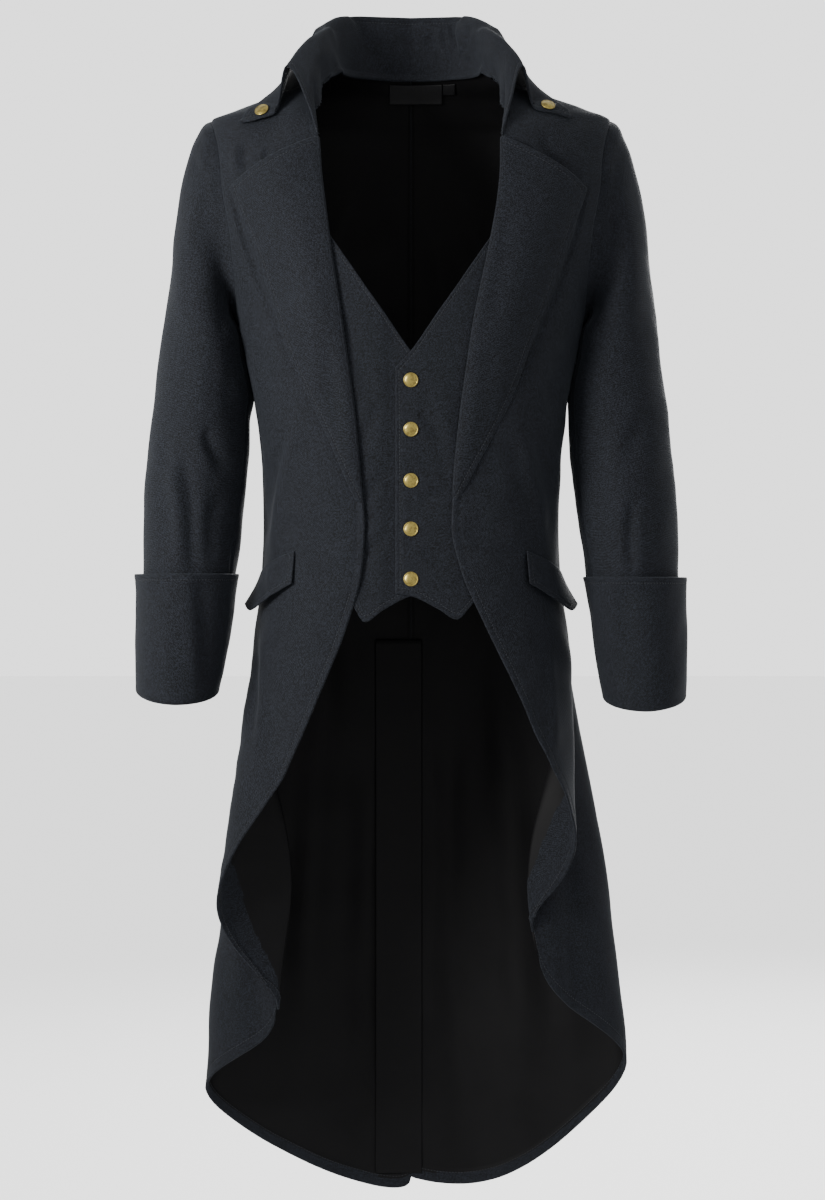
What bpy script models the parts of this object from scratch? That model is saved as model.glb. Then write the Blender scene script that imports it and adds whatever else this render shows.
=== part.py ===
"""Black tailcoat, filled out as worn: cut-away fronts, false waistcoat, tall collar, long tails.

Metres, +Z up, the front faces -Y and the wearer's right is at -X.
The origin is the middle of the neck base, level with the shoulders.
A place on the coat's body is given by a turn and a drop. The turn is an angle in degrees round
the body, 0 at centre front, 90 at the side and 180 at centre back. The drop is the depth
below the level of the neck seam.
"""
import bpy
import bmesh
import numpy as np

RIGHT = -1
LEFT = 1
SIDES = ((RIGHT, "right"), (LEFT, "left"))

# Main sizes
NECK_LEVEL = 0.041
COLLAR_CLOTH = 0.0022
COAT_CLOTH = 0.0018
WAISTCOAT_CLOTH = 0.0016
LABEL_CLOTH = 0.0010
SEAM_GAP = 0.0003
ROWS_PER_STATION = 2
PANEL_COLUMNS = 12
STEP_TURN = 0.5
STEP_DROP = 0.0015
SHARP_EDGE = 40


def table(columns, rows):
    """A table with named columns, a row for each section."""
    values = np.array(rows, dtype=float)
    return dict(zip(columns.split(), values.T))


# Level rings of the body, from the neck seam to the hem of the tails
BODY = table("drop half_width front_depth back_depth squareness", (
    (-0.004, 0.080, 0.040, 0.072, 2.00),
    (0.006, 0.095, 0.046, 0.079, 2.00),
    (0.018, 0.130, 0.055, 0.087, 2.00),
    (0.030, 0.160, 0.064, 0.092, 2.00),
    (0.043, 0.194, 0.075, 0.097, 2.00),
    (0.053, 0.219, 0.083, 0.101, 2.05),
    (0.075, 0.228, 0.098, 0.107, 2.10),
    (0.110, 0.229, 0.112, 0.113, 2.20),
    (0.150, 0.223, 0.121, 0.117, 2.30),
    (0.200, 0.211, 0.128, 0.119, 2.30),
    (0.265, 0.192, 0.130, 0.117, 2.30),
    (0.320, 0.1805, 0.128, 0.112, 2.30),
    (0.360, 0.1725, 0.126, 0.108, 2.30),
    (0.385, 0.1685, 0.124, 0.105, 2.30),
    (0.440, 0.1635, 0.120, 0.100, 2.30),
    (0.500, 0.1625, 0.117, 0.098, 2.30),
    (0.560, 0.165, 0.118, 0.103, 2.30),
    (0.650, 0.179, 0.122, 0.118, 2.20),
    (0.750, 0.195, 0.127, 0.130, 2.20),
    (0.850, 0.207, 0.131, 0.138, 2.20),
    (1.000, 0.228, 0.136, 0.148, 2.20),
    (1.120, 0.237, 0.139, 0.155, 2.20),
    (1.260, 0.242, 0.142, 0.162, 2.20)))

# The deep flute at the side of each tail: a valley between a front lobe and a back lobe
FLUTE = table("turn spread right_depth left_depth", (
    (92, 13, -0.084, -0.087),
    (67, 14, 0.010, -0.018),
    (114, 14, 0.014, 0.028),
    (150, 12, -0.010, -0.008)))
FLUTE_START = 0.60
FLUTE_FULL = 0.93

# Seams that the fronts and backs share, by station: the armhole, then the side seam
ARMHOLE = table("front_turn back_turn drop", (
    (90.0, 90.0, 0.053),
    (72.0, 108.0, 0.066),
    (62.5, 117.0, 0.115),
    (62.0, 118.0, 0.165),
    (67.0, 113.5, 0.220),
    (80.0, 104.0, 0.262),
    (94.0, 94.0, 0.280)))
SIDE_TURN = 92.5
SIDE_SWING = 2
SIDE_SEAM = (0.0, 0.067, 0.137, 0.213, 0.293, 0.373, 0.480, 0.587, 0.693, 0.800, 1.000)
SIDE_HEM = {RIGHT: 1.030, LEFT: 0.945}

# The front edge by station: neckline, roll line, cut-away and hem
FRONT_EDGE = table("right_turn right_drop left_turn left_drop", (
    (90.0, -0.004, 90.0, -0.004),
    (47.0, 0.020, 47.0, 0.020),
    (29.5, 0.048, 29.2, 0.048),
    (25.9, 0.080, 25.3, 0.080),
    (24.2, 0.155, 24.3, 0.155),
    (23.6, 0.235, 22.4, 0.235),
    (22.8, 0.292, 20.7, 0.292),
    (21.7, 0.345, 19.4, 0.345),
    (20.7, 0.395, 18.1, 0.395),
    (19.7, 0.445, 16.8, 0.445),
    (17.8, 0.500, 15.8, 0.500),
    (18.8, 0.550, 18.8, 0.545),
    (23.5, 0.608, 26.0, 0.598),
    (31.0, 0.675, 35.5, 0.662),
    (42.0, 0.765, 49.5, 0.758),
    (61.0, 0.855, 68.0, 0.826),
    (86.0, 1.000, 87.5, 0.922)))

# The back edge by station: back neckline, then centre back
BACK_EDGE = table("turn drop", (
    (90, -0.004), (120, -0.004), (152, -0.004), (180, -0.004), (180, 0.100), (180, 0.200),
    (180, 0.282), (180, 0.337), (180, 0.393), (180, 0.452), (180, 0.515), (180, 0.580),
    (180, 0.670), (180, 0.770), (180, 0.890), (180, 1.040), (180, 1.238)))
NECK_END = 3
HEM_BOW = {RIGHT: 0.054, LEFT: 0.098}
HEM_ROUND = {RIGHT: (0.45, 0.45), LEFT: (0.90, 0.30)}
HEM_FROM = 11
VENT_TOP = 0.625
VENT_LAP = 0.040
VENT_TUCK = 0.012
VENT_SHORT = 0.004
VENT_ROWS = 14
VENT_COLUMNS = 4
LAID_GAP = 0.0009

# Lapels: the outer edge against the drop of the roll line
LAPEL = table("roll_drop right_turn right_drop left_turn left_drop", (
    (0.083, 55.9, 0.134, 53.5, 0.137),
    (0.130, 52.6, 0.168, 50.8, 0.166),
    (0.190, 49.4, 0.210, 48.4, 0.210),
    (0.250, 47.5, 0.255, 46.2, 0.254),
    (0.310, 44.2, 0.307, 41.2, 0.310),
    (0.360, 38.6, 0.354, 37.0, 0.360),
    (0.410, 31.4, 0.401, 30.2, 0.405),
    (0.445, 25.6, 0.441, 23.4, 0.442),
    (0.474, 20.6, 0.474, 18.2, 0.472)))
LAPEL_COLUMNS = 6
LAPEL_ROWS = 14
LAPEL_STAND = COAT_CLOTH + 0.0007
LAPEL_BULGE = 0.0055
LAPEL_ROLL = 0.7

# Sleeves: rings from below the cap to the end
SLEEVE = table("outer_height inner_height outer inner fore aft fore_hang", (
    (-0.200, -0.272, 0.2670, 0.1840, -0.062, 0.078, 0.000),
    (-0.270, -0.320, 0.2750, 0.1742, -0.062, 0.076, 0.000),
    (-0.345, -0.370, 0.2840, 0.1755, -0.066, 0.066, 0.000),
    (-0.430, -0.435, 0.2925, 0.1840, -0.074, 0.052, 0.000),
    (-0.500, -0.500, 0.2945, 0.1920, -0.080, 0.040, 0.000),
    (-0.570, -0.570, 0.2960, 0.2015, -0.086, 0.028, 0.005),
    (-0.638, -0.640, 0.2965, 0.2120, -0.090, 0.018, 0.013)))
SLEEVE_EXTRA = {RIGHT: 0.000, LEFT: 0.007}
SLEEVE_RINGS = 11
CAP_RINGS = 5
CAP_PUSH = 0.095
CAP_RISE = 0.45
CAP_UNDER = 1.0
CAP_LENGTH = 0.16
CAP_LOOK = 0.03
CAP_FALL = 0.150
CUFF = table("share outer_step inner_step depth_step", (
    (0.694, 0.0062, 0.0048, 0.0060),
    (0.750, 0.0056, 0.0044, 0.0052),
    (0.870, 0.0050, 0.0038, 0.0040),
    (1.000, 0.0036, 0.0028, 0.0030)))
CUFF_OVERHANG = 0.0016

# Collar lines above the neck seam, from centre back to the front edge
COLLAR = table("rise_x rise_y rise_z crest_x crest_y crest_z foot_x foot_y foot_z tip_x tip_y tip_z", (
    (0.000, 0.077, 0.064, 0.000, 0.081, 0.082, 0.000, 0.083, 0.096, 0.000, 0.084, 0.110),
    (0.047, 0.064, 0.064, 0.049, 0.068, 0.083, 0.052, 0.071, 0.099, 0.055, 0.074, 0.113),
    (0.076, 0.030, 0.067, 0.080, 0.037, 0.092, 0.090, 0.043, 0.106, 0.104, 0.058, 0.070),
    (0.084, 0.012, 0.066, 0.092, 0.021, 0.088, 0.106, 0.029, 0.086, 0.121, 0.046, 0.026),
    (0.092, -0.008, 0.063, 0.103, 0.003, 0.083, 0.120, 0.009, 0.062, 0.137, 0.028, 0.019),
    (0.105, -0.040, 0.041, 0.120, -0.024, 0.064, 0.135, -0.028, 0.034, 0.153, -0.021, 0.013),
    (0.112, -0.081, -0.003, 0.134, -0.051, 0.040, 0.149, -0.066, -0.018, 0.187, -0.058, -0.022)))
NECK_STATIONS = (0.0, 1.2, 2.25, 2.8, 3.35, 4.6, 6.0)
COLLAR_LINES = ("rise", "crest", "foot", "tip")
COLLAR_SEAT = 0.0004
COLLAR_AT = (0.0, 0.28, 0.56, 0.80, 1.0)
COLLAR_LEFT_TUCK = {"rise": 0.004, "crest": 0.013, "foot": 0.013, "tip": 0.013}
COLLAR_LEFT_FULL = 2.4
COLLAR_LEFT_LIFT = 0.004
COLLAR_CLEAR = 0.0038
SHOULDER_SEARCH = 0.25
HALVINGS = 24
COLLAR_ROWS = 12

# False waistcoat: top and bottom edge against the place across
WAISTCOAT = table("across top bottom_right bottom_left tuck", (
    (-0.018, 0.334, 0.572, 0.572, 0.0036),
    (0.000, 0.315, 0.575, 0.575, 0.0036),
    (0.030, 0.272, 0.590, 0.589, 0.0034),
    (0.050, 0.244, 0.603, 0.600, 0.0031),
    (0.063, 0.225, 0.585, 0.588, 0.0029),
    (0.084, 0.195, 0.560, 0.560, 0.0028),
    (0.105, 0.165, 0.535, 0.535, 0.0028)))
WAISTCOAT_OVERLAP = 0.016
WAISTCOAT_UNDERLAP = 0.020
WAISTCOAT_STEP = 0.0025
WAISTCOAT_BLEND = 0.020
WAISTCOAT_COLUMNS = 9
WAISTCOAT_ROWS = 12

# Pocket flaps: corners as turn and drop, and how far each stands off the coat
FLAP = table("turn top bottom top_lift bottom_lift", (
    (47.0, 0.528, 0.562, 0.0004, 0.0030),
    (60.0, 0.537, 0.578, 0.0004, 0.0060),
    (74.0, 0.547, 0.592, 0.0004, 0.0100),
    (86.0, 0.556, 0.586, 0.0004, 0.0135)))
FLAP_COLUMNS = 7
FLAP_ROWS = 4

# Studs
STUD_RADIUS = 0.0080
STUD_HEIGHT = 0.0026
STUD_SEGMENTS = 14
STUD_SEAT = COLLAR_CLOTH + 0.0008
STUD_PROFILE = table("reach rise", (
    (0.94, 0.00), (1.00, 0.25), (0.96, 0.62), (0.80, 0.72), (0.62, 0.66), (0.34, 0.96)))
FRONT_STUD_DROPS = (0.3455, 0.398, 0.4525, 0.504, 0.5575)
FRONT_STUD_ACROSS = 0.0
COLLAR_STUD_SHARE = 0.45
COLLAR_STUD_INSET = 0.45

# Label and size tab, inside the back neck: left and right end, top and bottom drop
LABEL = (-0.0245, 0.0355, 0.0020, 0.0210)
SIZE_TAB = (0.0370, 0.0500, 0.0020, 0.0110)
LABEL_HANG = 0.0024
LABEL_DEPTH = 0.019
LABEL_COLUMNS = 6
LABEL_ROWS = 3

CLOTH_COLOUR = (0.021, 0.023, 0.027, 1.0)
WAISTCOAT_COLOUR = (0.019, 0.021, 0.025, 1.0)
BRASS_COLOUR = (0.31, 0.26, 0.11, 1.0)
LABEL_COLOUR = (0.012, 0.012, 0.013, 1.0)


def smooth(at, places, values):
    """Monotone cubic curve through a table's values, read at the given places."""
    places = np.asarray(places, float)
    values = np.asarray(values, float)
    at = np.asarray(at, float)
    step = np.diff(places)
    rise = np.diff(values) / step
    slope = np.zeros_like(values)
    same = rise[:-1] * rise[1:] > 0
    both = np.where(same, rise[:-1] + rise[1:], 1.0)
    slope[1:-1] = np.where(same, 2 * rise[:-1] * rise[1:] / both, 0.0)
    slope[0], slope[-1] = rise[0], rise[-1]
    i = np.clip(np.searchsorted(places, at, side="right") - 1, 0, len(step) - 1)
    t = np.clip((at - places[i]) / step[i], 0, 1)
    start = (1 + 2 * t) * (1 - t) ** 2 * values[i] + t * (1 - t) ** 2 * step[i] * slope[i]
    end = t * t * (3 - 2 * t) * values[i + 1] + t * t * (t - 1) * step[i] * slope[i + 1]
    return start + end


def ease(value):
    """Smooth step from 0 to 1."""
    value = np.clip(value, 0, 1)
    return value * value * (3 - 2 * value)


def body_ring(drop):
    return [smooth(drop, BODY["drop"], BODY[name])
            for name in ("half_width", "front_depth", "back_depth", "squareness")]


def flute(side, turn, drop):
    """How far the tail stands out from its plain ring: bells round the body, growing downwards."""
    depth = np.where(side[..., None] == RIGHT, FLUTE["right_depth"], FLUTE["left_depth"])
    grown = ease((drop - FLUTE_START) / (FLUTE_FULL - FLUTE_START))
    away = (np.asarray(turn)[..., None] - FLUTE["turn"]) / FLUTE["spread"]
    return grown * np.sum(depth * np.exp(-away ** 2), axis=-1)


def shape(side, turn, drop):
    """Point of the coat's outer face: a squarish ellipse at each level, with the tail's flute."""
    turn, drop = np.broadcast_arrays(np.asarray(turn, float), np.asarray(drop, float))
    side = np.where((turn > 180) | (turn < 0), -side, side)
    turn = np.where(turn > 180, 360 - turn, np.abs(turn))
    half, front, back, power = body_ring(drop)
    angle = np.radians(turn)
    across, along = np.sin(angle), np.cos(angle)
    reach = (np.abs(across) ** power + np.abs(along) ** power) ** (-1 / power)
    depth = np.where(along > 0, front, back)
    out = flute(side, turn, drop)
    x = side * across * (half * reach + out)
    y = -along * (depth * reach + out)
    return np.stack([x, y, NECK_LEVEL - drop], axis=-1)


def unit(vectors):
    return vectors / np.linalg.norm(vectors, axis=-1, keepdims=True)


def surface(side, turn, drop, lift=0.0):
    """Point of the coat's face, moved out by lift, and the direction that faces out there."""
    across = shape(side, turn + STEP_TURN, drop) - shape(side, turn - STEP_TURN, drop)
    down = shape(side, turn, drop + STEP_DROP) - shape(side, turn, drop - STEP_DROP)
    normal = -side * unit(np.cross(across, down))
    point = shape(side, turn, drop)
    return point + np.asarray(lift)[..., None] * normal, normal


def turn_of(across, drop):
    """Turn at which a ring's front half reaches the given place across."""
    half, _, _, power = body_ring(drop)
    share = np.clip(np.abs(across) / half, 0, 1)
    angle = np.degrees(np.arctan2(share, (1 - share ** power) ** (1 / power)))
    return angle * np.sign(across)


def pull_in(points, edges):
    """Moves the named edges of a grid half a seam gap into the grid."""
    moved = points.copy()
    picks = {"first_row": (0, 1), "last_row": (-1, -2)}
    for edge in edges:
        grid = points if edge.endswith("row") else points.swapaxes(0, 1)
        target = moved if edge.endswith("row") else moved.swapaxes(0, 1)
        rim, inside = picks[edge.replace("column", "row")]
        along = unit(np.gradient(grid[rim], axis=0))
        inward = grid[inside] - grid[rim]
        inward = inward - along * np.sum(inward * along, axis=-1, keepdims=True)
        target[rim] += unit(inward) * SEAM_GAP / 2
    return moved


def material(name, colour, roughness, metallic=0.0):
    made = bpy.data.materials.new(name)
    made.use_nodes = True
    shader = made.node_tree.nodes["Principled BSDF"]
    shader.inputs["Base Color"].default_value = colour
    shader.inputs["Roughness"].default_value = roughness
    shader.inputs["Metallic"].default_value = metallic
    return made


def add_mesh(name, vertices, faces, look):
    """Adds one closed body with its faces pointing out."""
    mesh = bpy.data.meshes.new(name)
    mesh.from_pydata([tuple(v) for v in vertices], [], [tuple(f) for f in faces])
    body = bmesh.new()
    body.from_mesh(mesh)
    bmesh.ops.triangulate(body, faces=body.faces[:])
    bmesh.ops.recalc_face_normals(body, faces=body.faces[:])
    body.to_mesh(mesh)
    body.free()
    mesh.shade_smooth()
    mesh.set_sharp_from_angle(angle=np.radians(SHARP_EDGE))
    mesh.materials.append(look)
    added = bpy.data.objects.new(name, mesh)
    bpy.context.scene.collection.objects.link(added)
    return added


def quads(rows, columns, start, closed):
    """Faces of a grid of points whose numbers run along each row in turn."""
    row, column = np.meshgrid(np.arange(rows - 1), np.arange(columns if closed else columns - 1),
                              indexing="ij")
    after = (column + 1) % columns
    corners = [row * columns + column, row * columns + after,
               (row + 1) * columns + after, (row + 1) * columns + column]
    return np.stack(corners, axis=-1).reshape(-1, 4) + start


def wall(name, outer, normals, thickness, look, closed=False):
    """A cloth wall: the outer grid, the same grid moved in, and the rims between them."""
    rows, columns = outer.shape[:2]
    inner = outer - normals * thickness
    count = rows * columns
    faces = [quads(rows, columns, 0, closed), quads(rows, columns, count, closed)[:, ::-1]]
    rims = [np.arange(columns), np.arange(columns) + (rows - 1) * columns]
    if closed:
        rims = [np.append(rim, rim[0]) for rim in rims]
    else:
        rims += [np.arange(rows) * columns, np.arange(rows) * columns + columns - 1]
    for rim in rims:
        faces.append(np.stack([rim[:-1], rim[1:], rim[1:] + count, rim[:-1] + count], axis=-1))
    vertices = np.concatenate([outer.reshape(-1, 3), inner.reshape(-1, 3)])
    return add_mesh(name, vertices, np.concatenate(faces), look)


def grid_normals(points, closed=False, flip=1):
    """Directions square to a grid, from the steps along its rows and columns."""
    down = np.gradient(points, axis=0)
    if closed:
        across = np.roll(points, -1, axis=1) - np.roll(points, 1, axis=1)
    else:
        across = np.gradient(points, axis=1)
    return flip * unit(np.cross(across, down))


def stations():
    """Row places down a panel, with two more rows below the back neck."""
    count = (len(BACK_EDGE["turn"]) - 1) * ROWS_PER_STATION + 1
    even = np.linspace(0, len(BACK_EDGE["turn"]) - 1, count)
    return np.sort(np.append(even, (NECK_END + 0.25, NECK_END + 0.75)))


def seam_line(side, half):
    """The armhole and side seam at each row, as turn and drop."""
    at = stations()
    last = len(ARMHOLE["drop"]) - 1
    places = np.arange(last + 1)
    underarm = ARMHOLE["drop"][-1]
    side_drops = underarm + np.array(SIDE_SEAM) * (SIDE_HEM[side] - underarm)
    side_places = np.arange(last, last + len(SIDE_SEAM))
    swing = 1 - ease((at - last) / SIDE_SWING)
    side_turn = SIDE_TURN + (ARMHOLE["front_turn"][-1] - SIDE_TURN) * swing
    turn = np.where(at <= last, smooth(at, places, ARMHOLE[half + "_turn"]), side_turn)
    drop = np.where(at <= last, smooth(at, places, ARMHOLE["drop"]),
                    smooth(at, side_places, side_drops))
    return turn, drop


def panel_grid(inner_turn, inner_drop, outer_turn, outer_drop):
    """Rows ruled from the inner edge to the outer seam."""
    share = np.linspace(0, 1, PANEL_COLUMNS)
    turn = inner_turn[:, None] * (1 - share) + outer_turn[:, None] * share
    drop = inner_drop[:, None] * (1 - share) + outer_drop[:, None] * share
    return turn, drop, share


def front_edge(side, name):
    prefix = "right_" if side == RIGHT else "left_"
    places = np.arange(len(FRONT_EDGE["right_turn"]))
    return smooth(stations(), places, FRONT_EDGE[prefix + name])


def front(side, name, look):
    outer_turn, outer_drop = seam_line(side, "front")
    turn, drop, _ = panel_grid(front_edge(side, "turn"), front_edge(side, "drop"),
                               outer_turn, outer_drop)
    points, normals = surface(side, turn, drop)
    points = pull_in(points, ("first_row", "first_column", "last_column"))
    wall("front_" + name, points, normals, COAT_CLOTH, look)


def back(side, name, look):
    outer_turn, outer_drop = seam_line(side, "back")
    places = np.arange(len(BACK_EDGE["turn"]))
    inner_turn = smooth(stations(), places, BACK_EDGE["turn"])
    inner_drop = smooth(stations(), places, BACK_EDGE["drop"])
    turn, drop, share = panel_grid(inner_turn, inner_drop, outer_turn, outer_drop)
    low = ease((stations() - HEM_FROM) / (len(places) - 1 - HEM_FROM))[:, None]
    inner, outer = HEM_ROUND[side]
    drop = drop + HEM_BOW[side] * low * np.sin(np.pi * share) ** (inner + (outer - inner) * share)
    points, normals = surface(side, turn, drop)
    points = pull_in(points, ("first_row", "first_column", "last_column"))
    wall("back_" + name, points, normals, COAT_CLOTH, look)


def vent_underlap(look):
    """Strip inside both backs, sewn to the left one, that closes the vent from within."""
    share = np.linspace(0, 1, VENT_ROWS)[:, None]
    drop = VENT_TOP + share * (BACK_EDGE["drop"][-1] - VENT_SHORT - VENT_TOP)
    half, _, _, _ = body_ring(drop)
    across = np.linspace(VENT_TUCK, -VENT_LAP, VENT_COLUMNS)[None, :]
    turn = 180 - np.degrees(np.arcsin(across / half))
    inset = -(COAT_CLOTH + LAID_GAP)
    points, normals = surface(LEFT, turn, drop, np.full(turn.shape, inset))
    wall("vent_underlap", points, normals, COAT_CLOTH, look)


def lapel(side, name, look):
    prefix = "right_" if side == RIGHT else "left_"
    roll_drop = np.linspace(LAPEL["roll_drop"][0], LAPEL["roll_drop"][-1], LAPEL_ROWS)
    roll_turn = smooth(roll_drop, front_edge(side, "drop"), front_edge(side, "turn"))
    edge_turn = smooth(roll_drop, LAPEL["roll_drop"], LAPEL[prefix + "turn"])
    edge_drop = smooth(roll_drop, LAPEL["roll_drop"], LAPEL[prefix + "drop"])
    share = np.linspace(0, 1, LAPEL_COLUMNS)
    turn = roll_turn[:, None] * (1 - share) + edge_turn[:, None] * share
    drop = roll_drop[:, None] * (1 - share) + edge_drop[:, None] * share
    wide = (edge_turn - roll_turn)[:, None] / np.max(edge_turn - roll_turn)
    lift = LAPEL_STAND + LAPEL_BULGE * np.sin(np.pi * share ** LAPEL_ROLL)[None, :] * wide
    points, normals = surface(side, turn, drop, lift)
    wall("lapel_" + name, points, normals, COAT_CLOTH, look)


def armhole(side):
    """The armhole as one ring of points, shoulder tip first, then down the front and up the back."""
    last = int(np.searchsorted(stations(), len(ARMHOLE["drop"]) - 1))
    front_turn, front_drop = seam_line(side, "front")
    back_turn, back_drop = seam_line(side, "back")
    turn = np.concatenate([front_turn[:last + 1], back_turn[1:last][::-1]])
    drop = np.concatenate([front_drop[:last + 1], back_drop[1:last][::-1]])
    return surface(side, turn, drop), last


def sleeve_ring(side, share, angle, grow=(0.0, 0.0, 0.0)):
    """A ring of the sleeve at a share of its length, swollen by an outer, inner and depth step."""
    places = np.linspace(0, 1, len(SLEEVE["outer"]))
    read = {name: smooth(share, places, values)[..., None] for name, values in SLEEVE.items()}
    outer = read["outer"] + np.asarray(grow[0])[..., None]
    inner = read["inner"] - np.asarray(grow[1])[..., None]
    depth = np.asarray(grow[2])[..., None]
    across = (outer + inner) / 2 + (outer - inner) / 2 * np.cos(angle)
    middle = (read["fore"] + read["aft"]) / 2
    deep = middle - ((read["aft"] - read["fore"]) / 2 + depth) * np.sin(angle)
    level = (read["outer_height"] + read["inner_height"]) / 2
    tilt = (read["outer_height"] - read["inner_height"]) / 2
    height = level + tilt * np.cos(angle) - read["fore_hang"] * np.sin(angle)
    height = height - SLEEVE_EXTRA[side] * np.asarray(share)[..., None] ** 2
    return np.stack([side * across, deep, height + 0 * across], axis=-1)


def ring_angles(points, last):
    """Angle of each armhole point round the sleeve, from its share of the front or back curve."""
    def shares(line):
        length = np.append(0, np.cumsum(np.linalg.norm(np.diff(line, axis=0), axis=-1)))
        return length / length[-1]
    front_share = shares(points[:last + 1])
    back_share = shares(np.concatenate([points[last:], points[:1]]))
    return np.pi * np.concatenate([front_share, 1 + back_share[1:-1]])


def sleeve(side, name, look):
    (start, seam_normal), last = armhole(side)
    angle = ring_angles(start, last)
    centre = start.mean(axis=0)
    along = unit(np.roll(start, -1, axis=0) - np.roll(start, 1, axis=0))
    into = np.cross(along, seam_normal)
    into = into * np.sign(np.sum(into * (centre - start)))
    start = start + unit(into) * SEAM_GAP / 2
    first = sleeve_ring(side, np.array(0.0), angle)
    after = sleeve_ring(side, np.array(CAP_LOOK), angle)
    under = ((1 - np.cos(angle)) / 2)[:, None]
    outward = np.array([side * 1.0, 0.0, 0.0])
    push = unit(into * (CAP_RISE + CAP_UNDER * under) + outward) * CAP_PUSH
    reach = np.linalg.norm(first - start, axis=-1, keepdims=True)
    push = push * np.minimum(1.0, reach / CAP_LENGTH + CAP_UNDER * under / 2)
    fall = unit(after - first) * CAP_FALL * np.minimum(1.0, reach / CAP_LENGTH)
    t = np.linspace(0, 1, CAP_RINGS + 1)[:-1, None, None]
    cap = ((1 + 2 * t) * (1 - t) ** 2 * start + t * (1 - t) ** 2 * push
           + t * t * (3 - 2 * t) * first + t * t * (t - 1) * fall)
    shares = np.linspace(0, 1, SLEEVE_RINGS)
    arm = sleeve_ring(side, shares, angle)
    points = np.concatenate([cap, arm])
    normals = grid_normals(points, closed=True)
    away = points - points.mean(axis=1, keepdims=True)
    normals = normals * np.sign(np.sum(normals[-1] * away[-1]))
    normals[0] = seam_normal
    wall("sleeve_" + name, points, normals, COAT_CLOTH, look, closed=True)
    cuff(side, name, angle, look)


def cuff(side, name, angle, look):
    """Ring shell round the sleeve's end, standing a little proud at its top edge."""
    shares = CUFF["share"]
    steps = [CUFF[step] for step in ("outer_step", "inner_step", "depth_step")]
    points = sleeve_ring(side, shares, angle, steps)
    points[-1, :, 2] -= CUFF_OVERHANG
    normals = grid_normals(points, closed=True)
    away = points - points.mean(axis=1, keepdims=True)
    normals = normals * np.sign(np.sum(normals[-1] * away[-1]))
    wall("cuff_" + name, points, normals, COAT_CLOTH, look, closed=True)


def neck_seam(side, at):
    """The neck seam from centre back to the front edge, at the panels' own points, just above them."""
    behind = at <= NECK_END
    back_turn = smooth(NECK_END - at, np.arange(len(BACK_EDGE["turn"])), BACK_EDGE["turn"])
    back_drop = smooth(NECK_END - at, np.arange(len(BACK_EDGE["turn"])), BACK_EDGE["drop"])
    front_places = np.arange(len(FRONT_EDGE["right_turn"]))
    prefix = "right_" if side == RIGHT else "left_"
    front_turn = smooth(at - NECK_END, front_places, FRONT_EDGE[prefix + "turn"])
    front_drop = smooth(at - NECK_END, front_places, FRONT_EDGE[prefix + "drop"])
    turn = np.where(behind, back_turn, front_turn)
    drop = np.where(behind, back_drop, front_drop)
    points, _ = surface(side, turn, drop, np.full(turn.shape, COLLAR_SEAT))
    return points


def height_below(points):
    """Height of the coat's outer face straight below or above each point."""
    low = np.full(points.shape[:-1], BODY["drop"][0])
    high = np.full(points.shape[:-1], SHOULDER_SEARCH)
    for _ in range(HALVINGS):
        middle = (low + high) / 2
        half, front_depth, back_depth, power = body_ring(middle)
        depth = np.where(points[..., 1] < 0, front_depth, back_depth)
        inside = (np.abs(points[..., 0] / half) ** power + np.abs(points[..., 1] / depth) ** power) < 1
        high = np.where(inside, middle, high)
        low = np.where(inside, low, middle)
    return NECK_LEVEL - (low + high) / 2


def collar_grid():
    """Collar points: curves from seam to tip, carried from one front edge round to the other."""
    at = np.linspace(0, NECK_STATIONS[-1], int(NECK_STATIONS[-1]) * ROWS_PER_STATION + 1)
    share = np.linspace(0, 1, COLLAR_ROWS)
    sides = []
    for side, _ in SIDES:
        lines = [neck_seam(side, at)]
        for line in COLLAR_LINES:
            place = [smooth(at, NECK_STATIONS, COLLAR[line + "_" + axis]) for axis in "xyz"]
            if side == LEFT:
                forward = ease(at / COLLAR_LEFT_FULL)
                place[0] = place[0] - COLLAR_LEFT_TUCK[line] * forward
                if line in ("foot", "tip"):
                    place[2] = place[2] + COLLAR_LEFT_LIFT * forward
            place[0] = side * place[0]
            lines.append(np.stack(place, axis=-1))
        lines = np.array(lines)
        curve = np.empty((COLLAR_ROWS, len(at), 3))
        for column in range(len(at)):
            for axis in range(3):
                curve[:, column, axis] = smooth(share, COLLAR_AT, lines[:, column, axis])
        rest = height_below(curve) + COLLAR_CLEAR
        turned = share[:, None] > COLLAR_AT[2]
        curve[..., 2] = np.where(turned, np.maximum(curve[..., 2], rest), curve[..., 2])
        sides.append(curve)
    return np.concatenate([sides[0][:, ::-1], sides[1][:, 1:]], axis=1)


def collar(look):
    points = collar_grid()
    normals = grid_normals(points)
    middle = points.shape[1] // 2
    normals = normals * np.sign(normals[1, middle, 1])
    wall("collar", points, normals, COLLAR_CLOTH, look)
    return points, normals


def waistcoat(side, name, look):
    near = -WAISTCOAT_OVERLAP if side == LEFT else -WAISTCOAT_UNDERLAP
    across = np.linspace(near, WAISTCOAT["across"][-1], WAISTCOAT_COLUMNS)
    top = smooth(across, WAISTCOAT["across"], WAISTCOAT["top"])
    bottom = smooth(across, WAISTCOAT["across"], WAISTCOAT["bottom_" + name])
    tuck = smooth(across, WAISTCOAT["across"], WAISTCOAT["tuck"])
    if side == RIGHT:
        under = 1 - ease((across - WAISTCOAT_OVERLAP) / WAISTCOAT_BLEND)
        tuck = tuck + WAISTCOAT_STEP * under
    share = np.linspace(0, 1, WAISTCOAT_ROWS)[:, None]
    drop = top * (1 - share) + bottom * share
    turn = turn_of(np.broadcast_to(across, drop.shape), drop)
    points, normals = surface(side, turn, drop, np.broadcast_to(-tuck, drop.shape))
    wall("waistcoat_" + name, points, normals, WAISTCOAT_CLOTH, look)


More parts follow.
